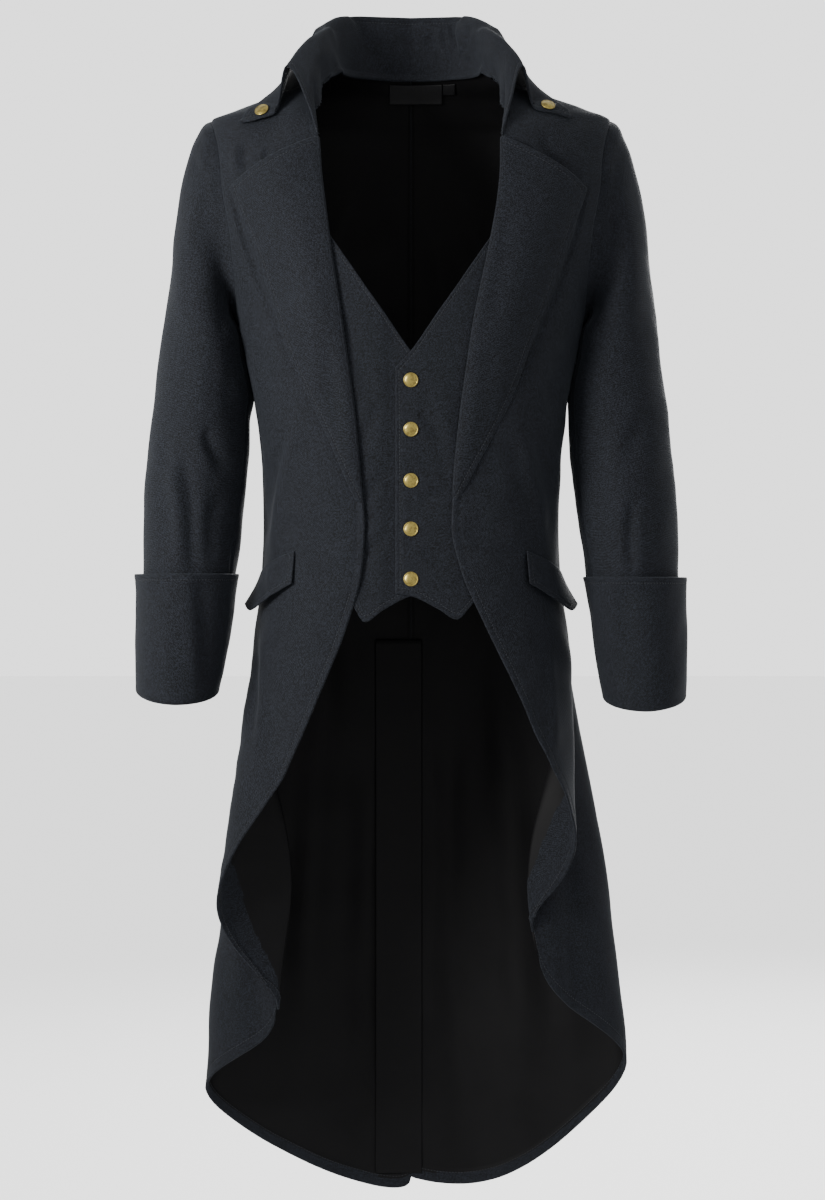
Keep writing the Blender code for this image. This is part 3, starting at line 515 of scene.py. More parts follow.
def smooth(at, places, values):
    """Monotone cubic curve through a table's values, whose first axis follows the places."""
    at = np.asarray(at, float)
    places = np.asarray(places, float)
    values = np.asarray(values, float)
    extra = (1,) * (values.ndim - 1)
    step = np.diff(places).reshape(-1, *extra)
    rise = np.diff(values, axis=0) / step
    slope = np.zeros_like(values)
    same = rise[:-1] * rise[1:] > 0
    both = np.where(same, rise[:-1] + rise[1:], 1.0)
    slope[1:-1] = np.where(same, 2 * rise[:-1] * rise[1:] / both, 0.0)
    slope[0], slope[-1] = rise[0], rise[-1]
    i = np.clip(np.searchsorted(places, at, side="right") - 1, 0, len(places) - 2)
    t = np.clip((at - places[i]) / np.diff(places)[i], 0, 1).reshape(at.shape + extra)
    start = (1 + 2 * t) * (1 - t) ** 2 * values[i] + t * (1 - t) ** 2 * step[i] * slope[i]
    end = t * t * (3 - 2 * t) * values[i + 1] + t * t * (t - 1) * step[i] * slope[i + 1]
    return start + end


def ease(value):
    """Smooth step from 0 to 1."""
    value = np.clip(value, 0, 1)
    return value * value * (3 - 2 * value)


def bell(distance, width):
    """1 at no distance, falling off to both sides: exp(-(distance / width) squared)."""
    return np.exp(-(distance / width) ** 2)


def ruled(first, last, share):
    """Straight from the first values to the last ones: first times (1 - share), last times share."""
    return first * (1 - share) + last * share


def unit(vectors):
    """Vectors brought to length 1."""
    return vectors / np.maximum(np.linalg.norm(vectors, axis=-1, keepdims=True), 1e-12)


def body_ring(drop):
    """The ring's half width, front and back depth and squareness at a drop."""
    return [smooth(drop, BODY["drop"], BODY[name])
            for name in ("half_width", "front_depth", "back_depth", "squareness")]


def flute(side, turn, drop):
    """How far the tail stands out from its plain ring: bells round the body, growing downwards."""
    depth = np.where(side[..., None] == RIGHT, FLUTE["right_depth"], FLUTE["left_depth"])
    grown = ease((drop - FLUTE_START) / (FLUTE_FULL - FLUTE_START))
    away = np.asarray(turn)[..., None] - FLUTE["turn"]
    return grown * np.sum(depth * bell(away, FLUTE["spread"]), axis=-1)


def shape(side, turn, drop):
    """Point of the coat's outer face: a squarish ellipse at each level, with the tail's flute."""
    turn, drop = np.broadcast_arrays(np.asarray(turn, float), np.asarray(drop, float))
    side = np.where((turn > 180) | (turn < 0), -side, side)
    turn = np.where(turn > 180, 360 - turn, np.abs(turn))
    half, front, back, power = body_ring(drop)
    angle = np.radians(turn)
    across, along = np.sin(angle), np.cos(angle)
    reach = (np.abs(across) ** power + np.abs(along) ** power) ** (-1 / power)
    depth = np.where(along > 0, front, back)
    out = flute(side, turn, drop)
    x = side * across * (half * reach + out)
    y = -along * (depth * reach + out)
    return np.stack([x, y, NECK_LEVEL - drop], axis=-1)


def surface(side, turn, drop, lift=0.0):
    """Point of the coat's face, moved out by lift, and the direction that faces out there."""
    across = shape(side, turn + STEP_TURN, drop) - shape(side, turn - STEP_TURN, drop)
    down = shape(side, turn, drop + STEP_DROP) - shape(side, turn, drop - STEP_DROP)
    normal = -side * unit(np.cross(across, down))
    return shape(side, turn, drop) + np.asarray(lift)[..., None] * normal, normal


def turn_of(across, drop):
    """Turn at which a ring's front half reaches the given place across."""
    half, _, _, power = body_ring(drop)
    share = np.clip(np.abs(across) / half, 0, 1)
    angle = np.degrees(np.arctan2(share, (1 - share ** power) ** (1 / power)))
    return angle * np.sign(across)


def turn_behind(across, drop):
    """Turn near centre back for a place across: 180 less the arc sine of across / half width."""
    return 180 - np.degrees(np.arcsin(across / body_ring(drop)[0]))


def crowded(count, crowd=EDGE_CROWD):
    """Shares from 0 to 1 that lie closer together towards both ends: s - c sin(2 pi s) / 2 pi."""
    share = np.linspace(0, 1, count)
    return share - crowd * np.sin(2 * np.pi * share) / (2 * np.pi)


def run_across(points):
    """Length along each row, from its first point."""
    steps = np.linalg.norm(np.diff(points, axis=1), axis=-1)
    return np.concatenate([np.zeros((len(points), 1)), np.cumsum(steps, axis=1)], axis=1)


def run_down(points):
    """Length down each column, from its first point."""
    return run_across(points.swapaxes(0, 1)).T


def creased(piece, points, front=1.0):
    """Sum of a piece's creases: a trough or ridge along each bowed line, with a low swell beside it.

    The distance is measured as seen from the front; front is 1 where the cloth faces forwards.
    """
    total = np.zeros(points.shape[:-1])
    a, b = points[..., 0] * 1000, points[..., 2] * 1000
    for x0, z0, x1, z1, bow, width, depth, facing in CREASES.get(piece, ()):
        length = np.hypot(x1 - x0, z1 - z0)
        along = ((a - x0) * (x1 - x0) + (b - z0) * (z1 - z0)) / length ** 2
        off = ((a - x0) * (z1 - z0) - (b - z0) * (x1 - x0)) / length
        off = off - bow * np.sin(np.pi * np.clip(along, 0, 1))
        fade = ease(along / FADE_IN + FADE_AHEAD) * ease((1 - along) / FADE_OUT + FADE_AHEAD)
        swell = bell(off, width) - SWELL_SHARE * bell(off - SWELL_AWAY * width, width)
        there = np.where(facing > 0, front, 1 - front)
        total += depth / 1000 * fade * swell * there
    return total


def waved(piece, points):
    """Soft unevenness: a sum of seeded sine waves, each bent by a slower one."""
    seed, strength = WAVE_OF[piece]
    draw = np.random.default_rng(seed)
    total = np.zeros(points.shape[:-1])
    for length, depth in zip(WAVES["length"], WAVES["depth"]):
        along = unit(draw.normal(size=3) * WAVE_LEAN)
        aside = unit(draw.normal(size=3))
        slow = points @ aside * 2 * np.pi / (length * WAVE_SLOWER)
        bend = WAVE_BEND * np.sin(slow + draw.uniform(0, WAVE_START))
        quick = points @ along * 2 * np.pi / length
        total += depth * np.sin(quick + bend + draw.uniform(0, WAVE_START))
    return strength * total


def uneven(piece, points, front=1.0):
    """A piece's creases and waves added up."""
    return creased(piece, points, front) + waved(piece, points)


def in_contact(height):
    """1 at the levels where the sleeve lies against the body, soft above and below them."""
    return ease((CONTACT_TOP - height) / CONTACT_SOFT) * ease((height - CONTACT_END) / CONTACT_SOFT)


def seam_dip(distance):
    """A seam's groove: a bell across the distance from the seam line."""
    return -SEAM_SINK * bell(distance, SEAM_SOFT)


def stitch_dip(distance, at):
    """The faint valley that a row of stitches pulls into the cloth."""
    return -STITCH_SINK * bell(distance - at, STITCH_SOFT)


def grid_normals(points, closed=False):
    """Directions square to a grid, from the steps along its rows and columns."""
    down = np.gradient(points, axis=0)
    if closed:
        across = np.roll(points, -1, axis=1) - np.roll(points, 1, axis=1)
    else:
        across = np.gradient(points, axis=1)
    return unit(np.cross(across, down))


def facing_out(points, outward, closed=False):
    """Normals of a grid, each turned round where it points against the outward direction."""
    normals = grid_normals(points, closed)
    return normals * np.sign(np.sum(normals * outward, axis=-1, keepdims=True))


def quads(rows, columns, start, closed):
    """Faces of a grid of points whose numbers run along each row in turn."""
    wide = columns if closed else columns - 1
    row, column = np.meshgrid(np.arange(rows - 1), np.arange(wide), indexing="ij")
    after = (column + 1) % columns
    corners = [row * columns + column, row * columns + after,
               (row + 1) * columns + after, (row + 1) * columns + column]
    return np.stack(corners, axis=-1).reshape(-1, 4) + start


def edge_loops(rows, columns, closed):
    """The grid's outline as closed loops of point numbers, with each point's neighbour inside."""
    first = np.arange(columns)
    last = first + (rows - 1) * columns
    if closed:
        return [(first[::-1], (first + columns)[::-1]), (last, last - columns)]
    left = np.arange(rows) * columns
    right = left + columns - 1
    loop = np.concatenate([first[:-1], right[:-1], last[:0:-1], left[:0:-1]])
    inside = np.concatenate([(first + columns)[:-1], (right - 1)[:-1],
                             (last - columns)[:0:-1], (left + 1)[:0:-1]])
    inside[0] = columns + 1
    inside[columns - 1] = 2 * columns - 2
    inside[columns + rows - 2] = (rows - 1) * columns - 2
    inside[2 * columns + rows - 3] = (rows - 2) * columns + 1
    return [(loop[::-1], inside[::-1])]


def wall(name, outer, normals, thickness, skins, closed=False, bulge=0.5, lined=False):
    """A closed cloth wall: the outer grid, the inner grid behind it and a rounded rim.

    The rim's middle line stands out from the edge by a share of the thickness. Inner faces take the
    second skin where lined is true. The UV map holds the lengths across and down in metres, and
    the attribute wear_and_highlight is 1 at the edges, where it pales the cloth: partly wear, partly
    a painted highlight.
    """
    rows, columns = outer.shape[:2]
    inner = outer - normals * np.asarray(thickness)[..., None]
    count = rows * columns
    across = run_across(np.concatenate([outer, outer[:, :1]], axis=1) if closed else outer)
    down = run_down(outer)
    if closed:
        down = np.concatenate([down, down[:, :1]], axis=1)
    wide = across.shape[1]
    faces = [quads(rows, columns, 0, closed), quads(rows, columns, count, closed)[:, ::-1]]
    spots = [quads(rows, wide, 0, False), quads(rows, wide, 0, False)[:, ::-1]]
    inside_faces = np.broadcast_to(lined, (rows - 1, columns if closed else columns - 1))
    slots = [np.zeros(len(faces[0]), int), inside_faces.reshape(-1).astype(int)]
    vertices = [outer.reshape(-1, 3), inner.reshape(-1, 3)]
    total = 2 * count
    for loop, inside in edge_loops(rows, columns, closed):
        edge = outer.reshape(-1, 3)[loop]
        behind = inner.reshape(-1, 3)[loop]
        away = unit(edge - outer.reshape(-1, 3)[inside])
        depth = np.linalg.norm(edge - behind, axis=-1, keepdims=True)
        vertices.append((edge + behind) / 2 + away * depth * bulge)
        middle = total + np.arange(len(loop))
        total += len(loop)
        after = np.roll(np.arange(len(loop)), -1)
        faces.append(np.stack([loop, loop[after], middle[after], middle], axis=-1))
        faces.append(np.stack([middle, middle[after], loop[after] + count, loop + count], axis=-1))
        place = loop if not closed else loop // columns * wide + loop % columns
        ring = np.stack([place, place[after], place[after], place], axis=-1)
        spots += [ring, ring]
        slots += [np.zeros(len(loop), int)] * 2
    vertices = np.concatenate(vertices)
    faces = np.concatenate(faces)
    uv = np.stack([across.reshape(-1), down.reshape(-1)], axis=-1)[np.concatenate(spots)]
    far = np.minimum(down[:, :columns], (down[-1:] - down)[:, :columns])
    if not closed:
        far = np.minimum(far, np.minimum(across, across[:, -1:] - across))
    # Paler towards the edges: partly wear, partly a painted highlight along the edges
    wear_and_highlight = np.exp(-far / WEAR_AND_HIGHLIGHT_WIDTH).reshape(-1)
    wear_and_highlight = np.concatenate([wear_and_highlight, wear_and_highlight, np.ones(total - 2 * count)])
    piece = add_mesh(name, vertices, faces, skins, uv, np.concatenate(slots), wear_and_highlight)
    grids[name] = (outer, normals)
    quarter = np.cross(outer[1:, 1:] - outer[:-1, :-1], outer[1:, :-1] - outer[:-1, 1:])
    area = np.linalg.norm(quarter, axis=-1).sum() / 2
    if closed:
        cross = np.cross(outer[1:, 0] - outer[:-1, -1], outer[1:, -1] - outer[:-1, 0])
        area += np.linalg.norm(cross, axis=-1).sum() / 2
    return piece


def add_mesh(name, vertices, faces, skins, uv=None, slots=None, wear_and_highlight=None):
    """Adds a smooth-shaded mesh object with its materials, UV map and the attribute for edge wear and
    painted edge highlight.
    """
    mesh = bpy.data.meshes.new(name)
    mesh.from_pydata(vertices.tolist(), [], faces.tolist())
    volume = np.einsum("ij,ij->i", vertices[faces[:, 0]],
                       np.cross(vertices[faces[:, 1]], vertices[faces[:, 2]])
                       + np.cross(vertices[faces[:, 2]], vertices[faces[:, -1]]))
    for skin in skins:
        mesh.materials.append(skin)
    if uv is not None:
        layer = mesh.uv_layers.new(name="cloth_run")
        layer.data.foreach_set("uv", uv.reshape(-1))
    if slots is not None:
        mesh.polygons.foreach_set("material_index", slots)
    if wear_and_highlight is not None:
        mesh.attributes.new("wear_and_highlight", "FLOAT", "POINT").data.foreach_set("value", wear_and_highlight)
    if volume.sum() < 0:
        mesh.flip_normals()
    mesh.shade_smooth()
    mesh.update()
    made = bpy.data.objects.new(name, mesh)
    bpy.context.scene.collection.objects.link(made)
    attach(made, "root")
    return made


class Value:
    """A shader socket used like a number: each operator adds its Math node."""

    def __init__(self, skin, socket):
        self.skin = skin
        self.socket = socket

    def math(self, operation, *parts):
        """Adds a Math node that takes the parts in turn."""
        return self.skin.node("ShaderNodeMath", {"operation": operation},
                              dict(enumerate(parts)))

    def __add__(self, other):
        return self.math("ADD", self, other)

    def __radd__(self, other):
        return self.math("ADD", other, self)

    def __sub__(self, other):
        return self.math("SUBTRACT", self, other)

    def __mul__(self, other):
        return self.math("MULTIPLY", self, other)

    def sine(self):
        return self.math("SINE", self)

    def between(self, low, high):
        """0 below low, 1 above high and smooth from one to the other."""
        return self.skin.node("ShaderNodeMapRange", {"interpolation_type": "SMOOTHSTEP"},
                              {"Value": self, "From Min": low, "From Max": high})


class Skin:
    """A material with one Principled shader, and the one way in which its nodes are made."""

    def __init__(self, name, **constants):
        self.material = bpy.data.materials.new(name)
        self.material.use_nodes = True
        self.tree = self.material.node_tree
        self.shader = self.tree.nodes["Principled BSDF"]
        self.feed(self.shader, {key.replace("_", " "): value for key, value in constants.items()})

    def feed(self, node, sockets):
        """Links a node's sockets to other nodes' values, or sets them to numbers."""
        for key, value in sockets.items():
            if isinstance(value, Value):
                self.tree.links.new(value.socket, node.inputs[key])
            else:
                node.inputs[key].default_value = value

    def node(self, kind, settings=None, sockets=None, out=0):
        """Adds a node and gives back one of its outputs."""
        made = self.tree.nodes.new(kind)
        for key, value in (settings or {}).items():
            setattr(made, key, value)
        self.feed(made, sockets or {})
        return Value(self, made.outputs[out])

    def set(self, **sockets):
        """Feeds the Principled shader."""
        self.feed(self.shader, {key.replace("_", " "): value for key, value in sockets.items()})

    def mix(self, share, first, second):
        """A colour between two others."""
        return self.node("ShaderNodeMix", {"data_type": "RGBA"},
                         {0: share, 6: (*first, 1), 7: (*second, 1)}, 2)

    def cloth_run(self):
        """Lengths across and down the cloth in metres, from the UV map."""
        place = self.node("ShaderNodeUVMap", {"uv_map": "cloth_run"})
        across = self.node("ShaderNodeSeparateXYZ", sockets={0: place})
        return across, Value(self, across.socket.node.outputs[1])

    def noise(self, scale, detail=2.0, roughness=0.5):
        """Soft noise over the object's own coordinates, in metres."""
        place = self.node("ShaderNodeTexCoord", out="Object")
        return self.node("ShaderNodeTexNoise", sockets={
            "Vector": place, "Scale": scale, "Detail": detail, "Roughness": roughness})

    def bump(self, height, distance, strength):
        """A normal tilted by the slope of a height."""
        return self.node("ShaderNodeBump", sockets={
            "Height": height, "Distance": distance, "Strength": strength})


def twill_skin(name, dark, light, wale, sheen, roughness):
    """Twill: slanting wales crossed by fine threads, with mottling, fuzz and paler edges, partly wear
    and partly a painted highlight.
    """
    skin = Skin(name, Sheen_Weight=sheen, Sheen_Roughness=0.5, Sheen_Tint=(0.72, 0.84, 1.0, 1.0),
                Specular_IOR_Level=0.075)
    across, down = skin.cloth_run()
    turn = 2 * np.pi / wale
    wobble = skin.noise(900.0, 1.0) * 1.6
    wales = ((across * 0.78 + down * 0.62) * turn + wobble).sine() * 0.5 + 0.5
    threads = ((across * 0.62 - down * 0.78) * (turn * 1.9)).sine() * 0.5 + 0.5
    fuzz = skin.noise(2600.0, 2.0)
    weave = wales * 0.7 + threads * wales * 0.3
    mottle = skin.noise(38.0, 3.0)
    speck = skin.noise(820.0, 3.0, roughness=0.75).between(0.36, 0.64)
    # Paler cloth at the edges: partly wear, partly a painted highlight along the edges
    worn_and_highlit = skin.node("ShaderNodeAttribute", {"attribute_name": "wear_and_highlight"}, out="Fac")
    share = weave * 0.30 + mottle * 0.16 + speck * 1.30 + worn_and_highlit * 0.08 - 0.49
    skin.set(Base_Color=skin.mix(share, dark, light),
             Roughness=roughness + (speck - 0.5) * 0.10,
             Normal=skin.bump(weave * 0.8 + fuzz * 0.5, wale * 0.16, 0.55))
    return skin.material


def lining_skin(name, dark, light):
    """Smooth lining: a fine plain weave with soft streaks down the cloth, its dark colours partly
    painted shade.
    """
    skin = Skin(name, Specular_IOR_Level=0.04)
    mottle = skin.noise(26.0, 3.0)
    fine = skin.noise(1500.0, 2.0)
    skin.set(Base_Color=skin.mix(mottle * 0.7 + fine * 0.3, dark, light),
             Roughness=0.58 + (mottle - 0.5) * 0.16,
             Normal=skin.bump(fine, 0.0002, 0.4))
    return skin.material


def brass_skin(name, bright, tarnish):
    """Aged brass: tarnish in soft patches and fine scratches on the metal."""
    skin = Skin(name, Metallic=1.0)
    patch = skin.noise(260.0, 4.0, roughness=0.62).between(0.42, 0.66)
    scratch = skin.noise(1900.0, 3.0)
    skin.set(Base_Color=skin.mix(patch * 0.75, bright, tarnish),
             Roughness=0.30 + patch * 0.22 + scratch * 0.10,
             Normal=skin.bump(scratch + patch * 0.4, 0.00012, 0.5))
    return skin.material


def ribbon_skin(name, dark, light):
    """Woven ribbon: fine ribs across it and a satin gloss."""
    skin = Skin(name, Specular_IOR_Level=0.08)
    _, down = skin.cloth_run()
    ribs = (down * (2 * np.pi / RIB_PITCH)).sine() * 0.5 + 0.5
    skin.set(Base_Color=skin.mix(ribs * 0.5 + skin.noise(300.0) * 0.4, dark, light),
             Roughness=0.42 + ribs * 0.14, Normal=skin.bump(ribs, 0.00015, 0.5))
    return skin.material


def thread_skin(name, dark, light):
    """Sewing thread: a twisted strand, a little glossier than the cloth."""
    skin = Skin(name, Specular_IOR_Level=0.15)
    twist = skin.noise(2200.0, 2.0)
    skin.set(Base_Color=skin.mix(twist, dark, light), Roughness=0.55 + twist * 0.15,
             Normal=skin.bump(twist, 0.0001, 0.5))
    return skin.material


def make_looks(colours):
    """Makes every material of the coat once."""
    cloth = (colours.cloth_dark, colours.cloth_light)
    looks["cloth"] = twill_skin("coat_twill", *cloth, wale=0.0015, sheen=0.016, roughness=0.86)
    looks["waistcoat"] = twill_skin("waistcoat_twill", *cloth, wale=0.0013, sheen=0.012,
                                    roughness=0.86)
    # The lining is kept darker than the cloth: partly its own black, partly painted shade for the
    # inside of the coat
    looks["lining"] = lining_skin("black_lining", colours.lining_dark, colours.lining_light)
    looks["brass"] = brass_skin("aged_brass", colours.brass, colours.tarnish)
    looks["ribbon"] = ribbon_skin("label_ribbon", *RIBBON_COLOURS)
    looks["thread"] = thread_skin("black_thread", *THREAD_COLOURS)


def edge_line(side, half, at):
    """The inner edge of a front or back panel at the given stations, as turn and drop."""
    if half == "back":
        source, names = BACK_EDGE, ("turn", "drop")
    else:
        source, names = FRONT_EDGE, (SIDES[side] + "_turn", SIDES[side] + "_drop")
    places = np.arange(len(source[names[0]]))
    return [smooth(at, places, source[name]) for name in names]


def seam_line(side, half, at):
    """The armhole and side seam at the given stations, as turn and drop."""
    last = len(ARMHOLE["drop"]) - 1
    places = np.arange(last + 1)
    underarm = ARMHOLE["drop"][-1]
    side_drops = underarm + np.array(SIDE_SEAM) * (SIDE_HEM[side] - underarm)
    side_places = np.arange(last, last + len(SIDE_SEAM))
    swing = 1 - ease((at - last) / SIDE_SWING)
    side_turn = SIDE_TURN + (ARMHOLE["front_turn"][-1] - SIDE_TURN) * swing
    turn = np.where(at <= last, smooth(at, places, ARMHOLE[half + "_turn"]), side_turn)
    drop = np.where(at <= last, smooth(at, places, ARMHOLE["drop"]),
                    smooth(at, side_places, side_drops))
    return turn, drop


def fine_stations(side):
    """Row places a set pitch apart, the same for the front, back and sleeve of a side."""
    whole = np.arange(len(BACK_EDGE["turn"]), dtype=float)
    lines = [shape(side, *edge_line(side, half, whole)) for half in ("front", "back")]
    lines += [shape(side, *seam_line(side, half, whole)) for half in ("front", "back")]
    gaps = np.max([np.linalg.norm(np.diff(line, axis=0), axis=-1) for line in lines], axis=0)
    counts = np.ceil(gaps / ROW_PITCH).astype(int)
    rows = [start + np.arange(count) / count for start, count in enumerate(counts[:-1])]
    closing = np.linspace(0, 1, int(counts[-1] * HEM_ROWS_MORE) + 1)
    rows.append(len(counts) - (1 - closing) ** HEM_ROWS_CROWD)
    return np.concatenate(rows)


def panel(side, half):
    """A front or back: rows ruled from the inner edge to the outer seam, creased and hemmed.

    The lift is the creases, waves, seam grooves and stitch valleys added up. The wall is thicker
    by the turned-up hem, and its inner face is cloth over the facing and dark lining elsewhere, the
    lining's darkness partly painted shade.
    """
    name = SIDES[side] + "_" + half
    is_front = half == "front"
    at = fine_stations(side)
    share = crowded(PANEL_COLUMNS)
    turn, drop = [ruled(inner[:, None], outer[:, None], share)
                  for inner, outer in zip(edge_line(side, half, at), seam_line(side, half, at))]
    if not is_front:
        last = len(BACK_EDGE["turn"]) - 1
        low = ease((at - HEM_FROM) / (last - HEM_FROM))[:, None]
        near, far = HEM_ROUND[side]
        drop = drop + HEM_BOW[side] * low * np.sin(np.pi * share) ** (near + (far - near) * share)
    plain, _ = surface(side, turn, drop)
    from_edge, from_top = run_across(plain), run_down(plain)
    from_seam, from_hem = from_edge[:, -1:] - from_edge, from_top[-1:] - from_top
    sewn_end = NECK_FRONT_END if is_front else VENT_STATION
    sewn = 1 - ease((at - sewn_end) / SEWN_SOFT)[:, None]
    free = 1 - sewn
    calm = ease(np.minimum(from_seam, from_top) / CALM["panel"])
    calm = calm * (1 - (1 - ease(from_edge / CALM["panel"])) * (sewn if is_front else 1.0))
    near_seam = 1 - ease((from_seam - CONTACT_REACH) / CONTACT_SOFT)
    calm = calm * (1 - in_contact(plain[..., 2]) * near_seam)
    lift = uneven(name, plain, float(is_front)) * calm
    lift = lift + seam_dip(from_seam) + seam_dip(from_top) + seam_dip(from_edge) * sewn
    lift = lift + stitch_dip(from_hem, HEM_DEPTH) + stitch_dip(from_edge, INSET["coat"]) * free
    points, outward = surface(side, turn, drop, lift)
    hem = 1 - ease((from_hem - HEM_DEPTH) / HEM_STEP)
    edge = (1 - ease((from_edge - HEM_DEPTH) / HEM_STEP)) * free
    faced = from_hem < HEM_DEPTH
    if is_front:
        faced = faced | ((from_edge < FACING_DEPTH) & (free > 0.5))
    return wall(name, points, facing_out(points, outward),
                COAT_CLOTH + HEM_THICK * np.maximum(hem, edge),
                [looks["cloth"], looks["lining"]], lined=~faced[:-1, :-1])


def underlap_piece():
    """Strip inside both backs that closes the vent from within."""
    share = np.linspace(0, 1, VENT_ROWS)[:, None]
    drop = VENT_TOP + share * (BACK_EDGE["drop"][-1] - VENT_SHORT - VENT_TOP)
    across = (VENT_TUCK - (VENT_TUCK + VENT_LAP) * crowded(VENT_COLUMNS))[None, :]
    turn = turn_behind(across, drop)
    plain, _ = surface(LEFT, turn, drop)
    inset = -(COAT_CLOTH + LAID_GAP) + waved("vent_strip", plain) - VENT_GAP
    points, normals = surface(LEFT, turn, drop, inset)
    # The strip takes the dark lining, partly painted shade, so that it sinks into the shade inside the
    # backs
    return wall("vent_strip", points, normals, COAT_CLOTH, [looks["lining"]])


def armhole(side):
    """The armhole as one ring, shoulder tip first, then down the front and up the back."""
    at = fine_stations(side)
    at = at[at <= len(ARMHOLE["drop"]) - 1]
    front_turn, front_drop = seam_line(side, "front", at)
    back_turn, back_drop = seam_line(side, "back", at)
    turn = np.concatenate([front_turn, back_turn[1:-1][::-1]])
    drop = np.concatenate([front_drop, back_drop[1:-1][::-1]])
    return surface(side, turn, drop, -SEAM_SINK), len(at) - 1


def sleeve_ring(side, share, angle, grow=(0.0, 0.0, 0.0)):
    """A ring of the sleeve at a share of its length, swollen by an outer, inner and depth step."""
    places = np.linspace(0, 1, len(SLEEVE["outer"]))
    read = {name: smooth(share, places, values)[..., None] for name, values in SLEEVE.items()}
    outer = read["outer"] + np.asarray(grow[0])[..., None]
    inner = read["inner"] - np.asarray(grow[1])[..., None]
    depth = np.asarray(grow[2])[..., None]
    across = (outer + inner) / 2 + (outer - inner) / 2 * np.cos(angle)
    middle = (read["fore"] + read["aft"]) / 2
    deep = middle - ((read["aft"] - read["fore"]) / 2 + depth) * np.sin(angle)
    level = (read["outer_height"] + read["inner_height"]) / 2
    tilt = (read["outer_height"] - read["inner_height"]) / 2
    height = level + tilt * np.cos(angle) - read["fore_hang"] * np.sin(angle)
    height = height - SLEEVE_EXTRA[side] * np.asarray(share)[..., None] ** 2
    return np.stack([side * across, deep, height + 0 * across], axis=-1)


def ring_angles(points, last):
    """Angle of each armhole point round the sleeve, from its share of the front or back curve."""
    def shares(line):
        """Share of the line's length at each of its points."""
        length = np.append(0, np.cumsum(np.linalg.norm(np.diff(line, axis=0), axis=-1)))
        return length / length[-1]
    front_share = shares(points[:last + 1])
    back_share = shares(np.concatenate([points[last:], points[:1]]))
    return np.pi * np.concatenate([front_share, 1 + back_share[1:-1]])


def facing_front(angle):
    """1 round the front half of a sleeve and 0 round its back half, soft between them."""
    return ease(np.sin(angle) * FRONT_STEEPNESS + 0.5)


def lifted(points, normals, lift):
    """A closed grid moved along its normals, and its new normals, facing the same way."""
    moved = points + normals * lift[..., None]
    return moved, facing_out(moved, normals, closed=True)


def ring_normals(points, row):
    """Normals of a closed sleeve grid, facing out as seen from the middle of the given ring."""
    normals = grid_normals(points, closed=True)
    away = points[row] - points[row].mean(axis=0)
    return normals * np.sign(np.sum(normals[row] * away))


def sleeve_angles(side):
    """Armhole points, their normals and their angles round the sleeve."""
    (start, seam_normal), last = armhole(side)
    return start, seam_normal, ring_angles(start, last)


def sleeve_piece(side, name):
    """Sleeve: a cap of curves from the armhole to the first ring, then rings down the arm."""
    start, seam_normal, angle = sleeve_angles(side)
    centre = start.mean(axis=0)
    along = unit(np.roll(start, -1, axis=0) - np.roll(start, 1, axis=0))
    into = np.cross(along, seam_normal)
    into = unit(into * np.sign(np.sum(into * (centre - start))))
    first = sleeve_ring(side, np.array(0.0), angle)
    after = sleeve_ring(side, np.array(CAP_LOOK), angle)
    under = ((1 - np.cos(angle)) / 2)[:, None]
    outward = np.array([side * 1.0, 0.0, 0.0])
    push = unit(into * (CAP_RISE + CAP_UNDER * under) + outward) * CAP_PUSH
    reach = np.linalg.norm(first - start, axis=-1, keepdims=True)
    push = push * np.minimum(1.0, reach / CAP_LENGTH + CAP_UNDER * under / 2)
    fall = unit(after - first) * CAP_FALL * np.minimum(1.0, reach / CAP_LENGTH)
    t = (np.linspace(0, 1, CAP_ROWS + 1)[:-1] ** CAP_CROWD)[:, None, None]
    cap = ((1 + 2 * t) * (1 - t) ** 2 * start + t * (1 - t) ** 2 * push
           + t * t * (3 - 2 * t) * first + t * t * (t - 1) * fall)
    arm = sleeve_ring(side, np.linspace(0, 1, SLEEVE_ROWS), angle)
    plain = np.concatenate([cap, arm])
    normals = ring_normals(plain, -1)
    down = run_down(plain)
    height = plain[..., 2]
    lift = uneven(name + "_sleeve", plain, facing_front(angle))
    inner_side = ease((-np.cos(angle) - CONTACT_ROUND) / CONTACT_ROUND_SOFT)
    pressed = in_contact(height) * inner_side
    press = CONTACT_PRESS + CONTACT_DEEPER * bell(height - CONTACT_DEEPEST, CONTACT_SPREAD)
    lift = lift * ease(down / CALM["sleeve"]) * (1 - pressed) + press * pressed
    head = np.clip(np.cos(angle), 0, 1) ** HEAD_POWER
    lift = lift + HEAD_RISE * head * bell(down - HEAD_AT, HEAD_WIDTH)
    girth = np.linalg.norm(plain - np.roll(plain, 1, axis=1), axis=-1).sum(axis=1, keepdims=True)
    for seam in (HIND_SEAM, FORE_SEAM):
        gap = np.abs((angle - seam + np.pi) % (2 * np.pi) - np.pi) / (2 * np.pi) * girth
        lift = lift + seam_dip(gap) * SLEEVE_SEAM_SHARE
    points, normals = lifted(plain, normals, lift)
    normals[0] = unit(seam_normal + normals[1])
    # Inside faces take the dark lining, partly painted shade for the inside of the sleeve
    return wall(name + "_sleeve", points, normals, COAT_CLOTH,
                [looks["cloth"], looks["lining"]], closed=True, bulge=0.0, lined=True)


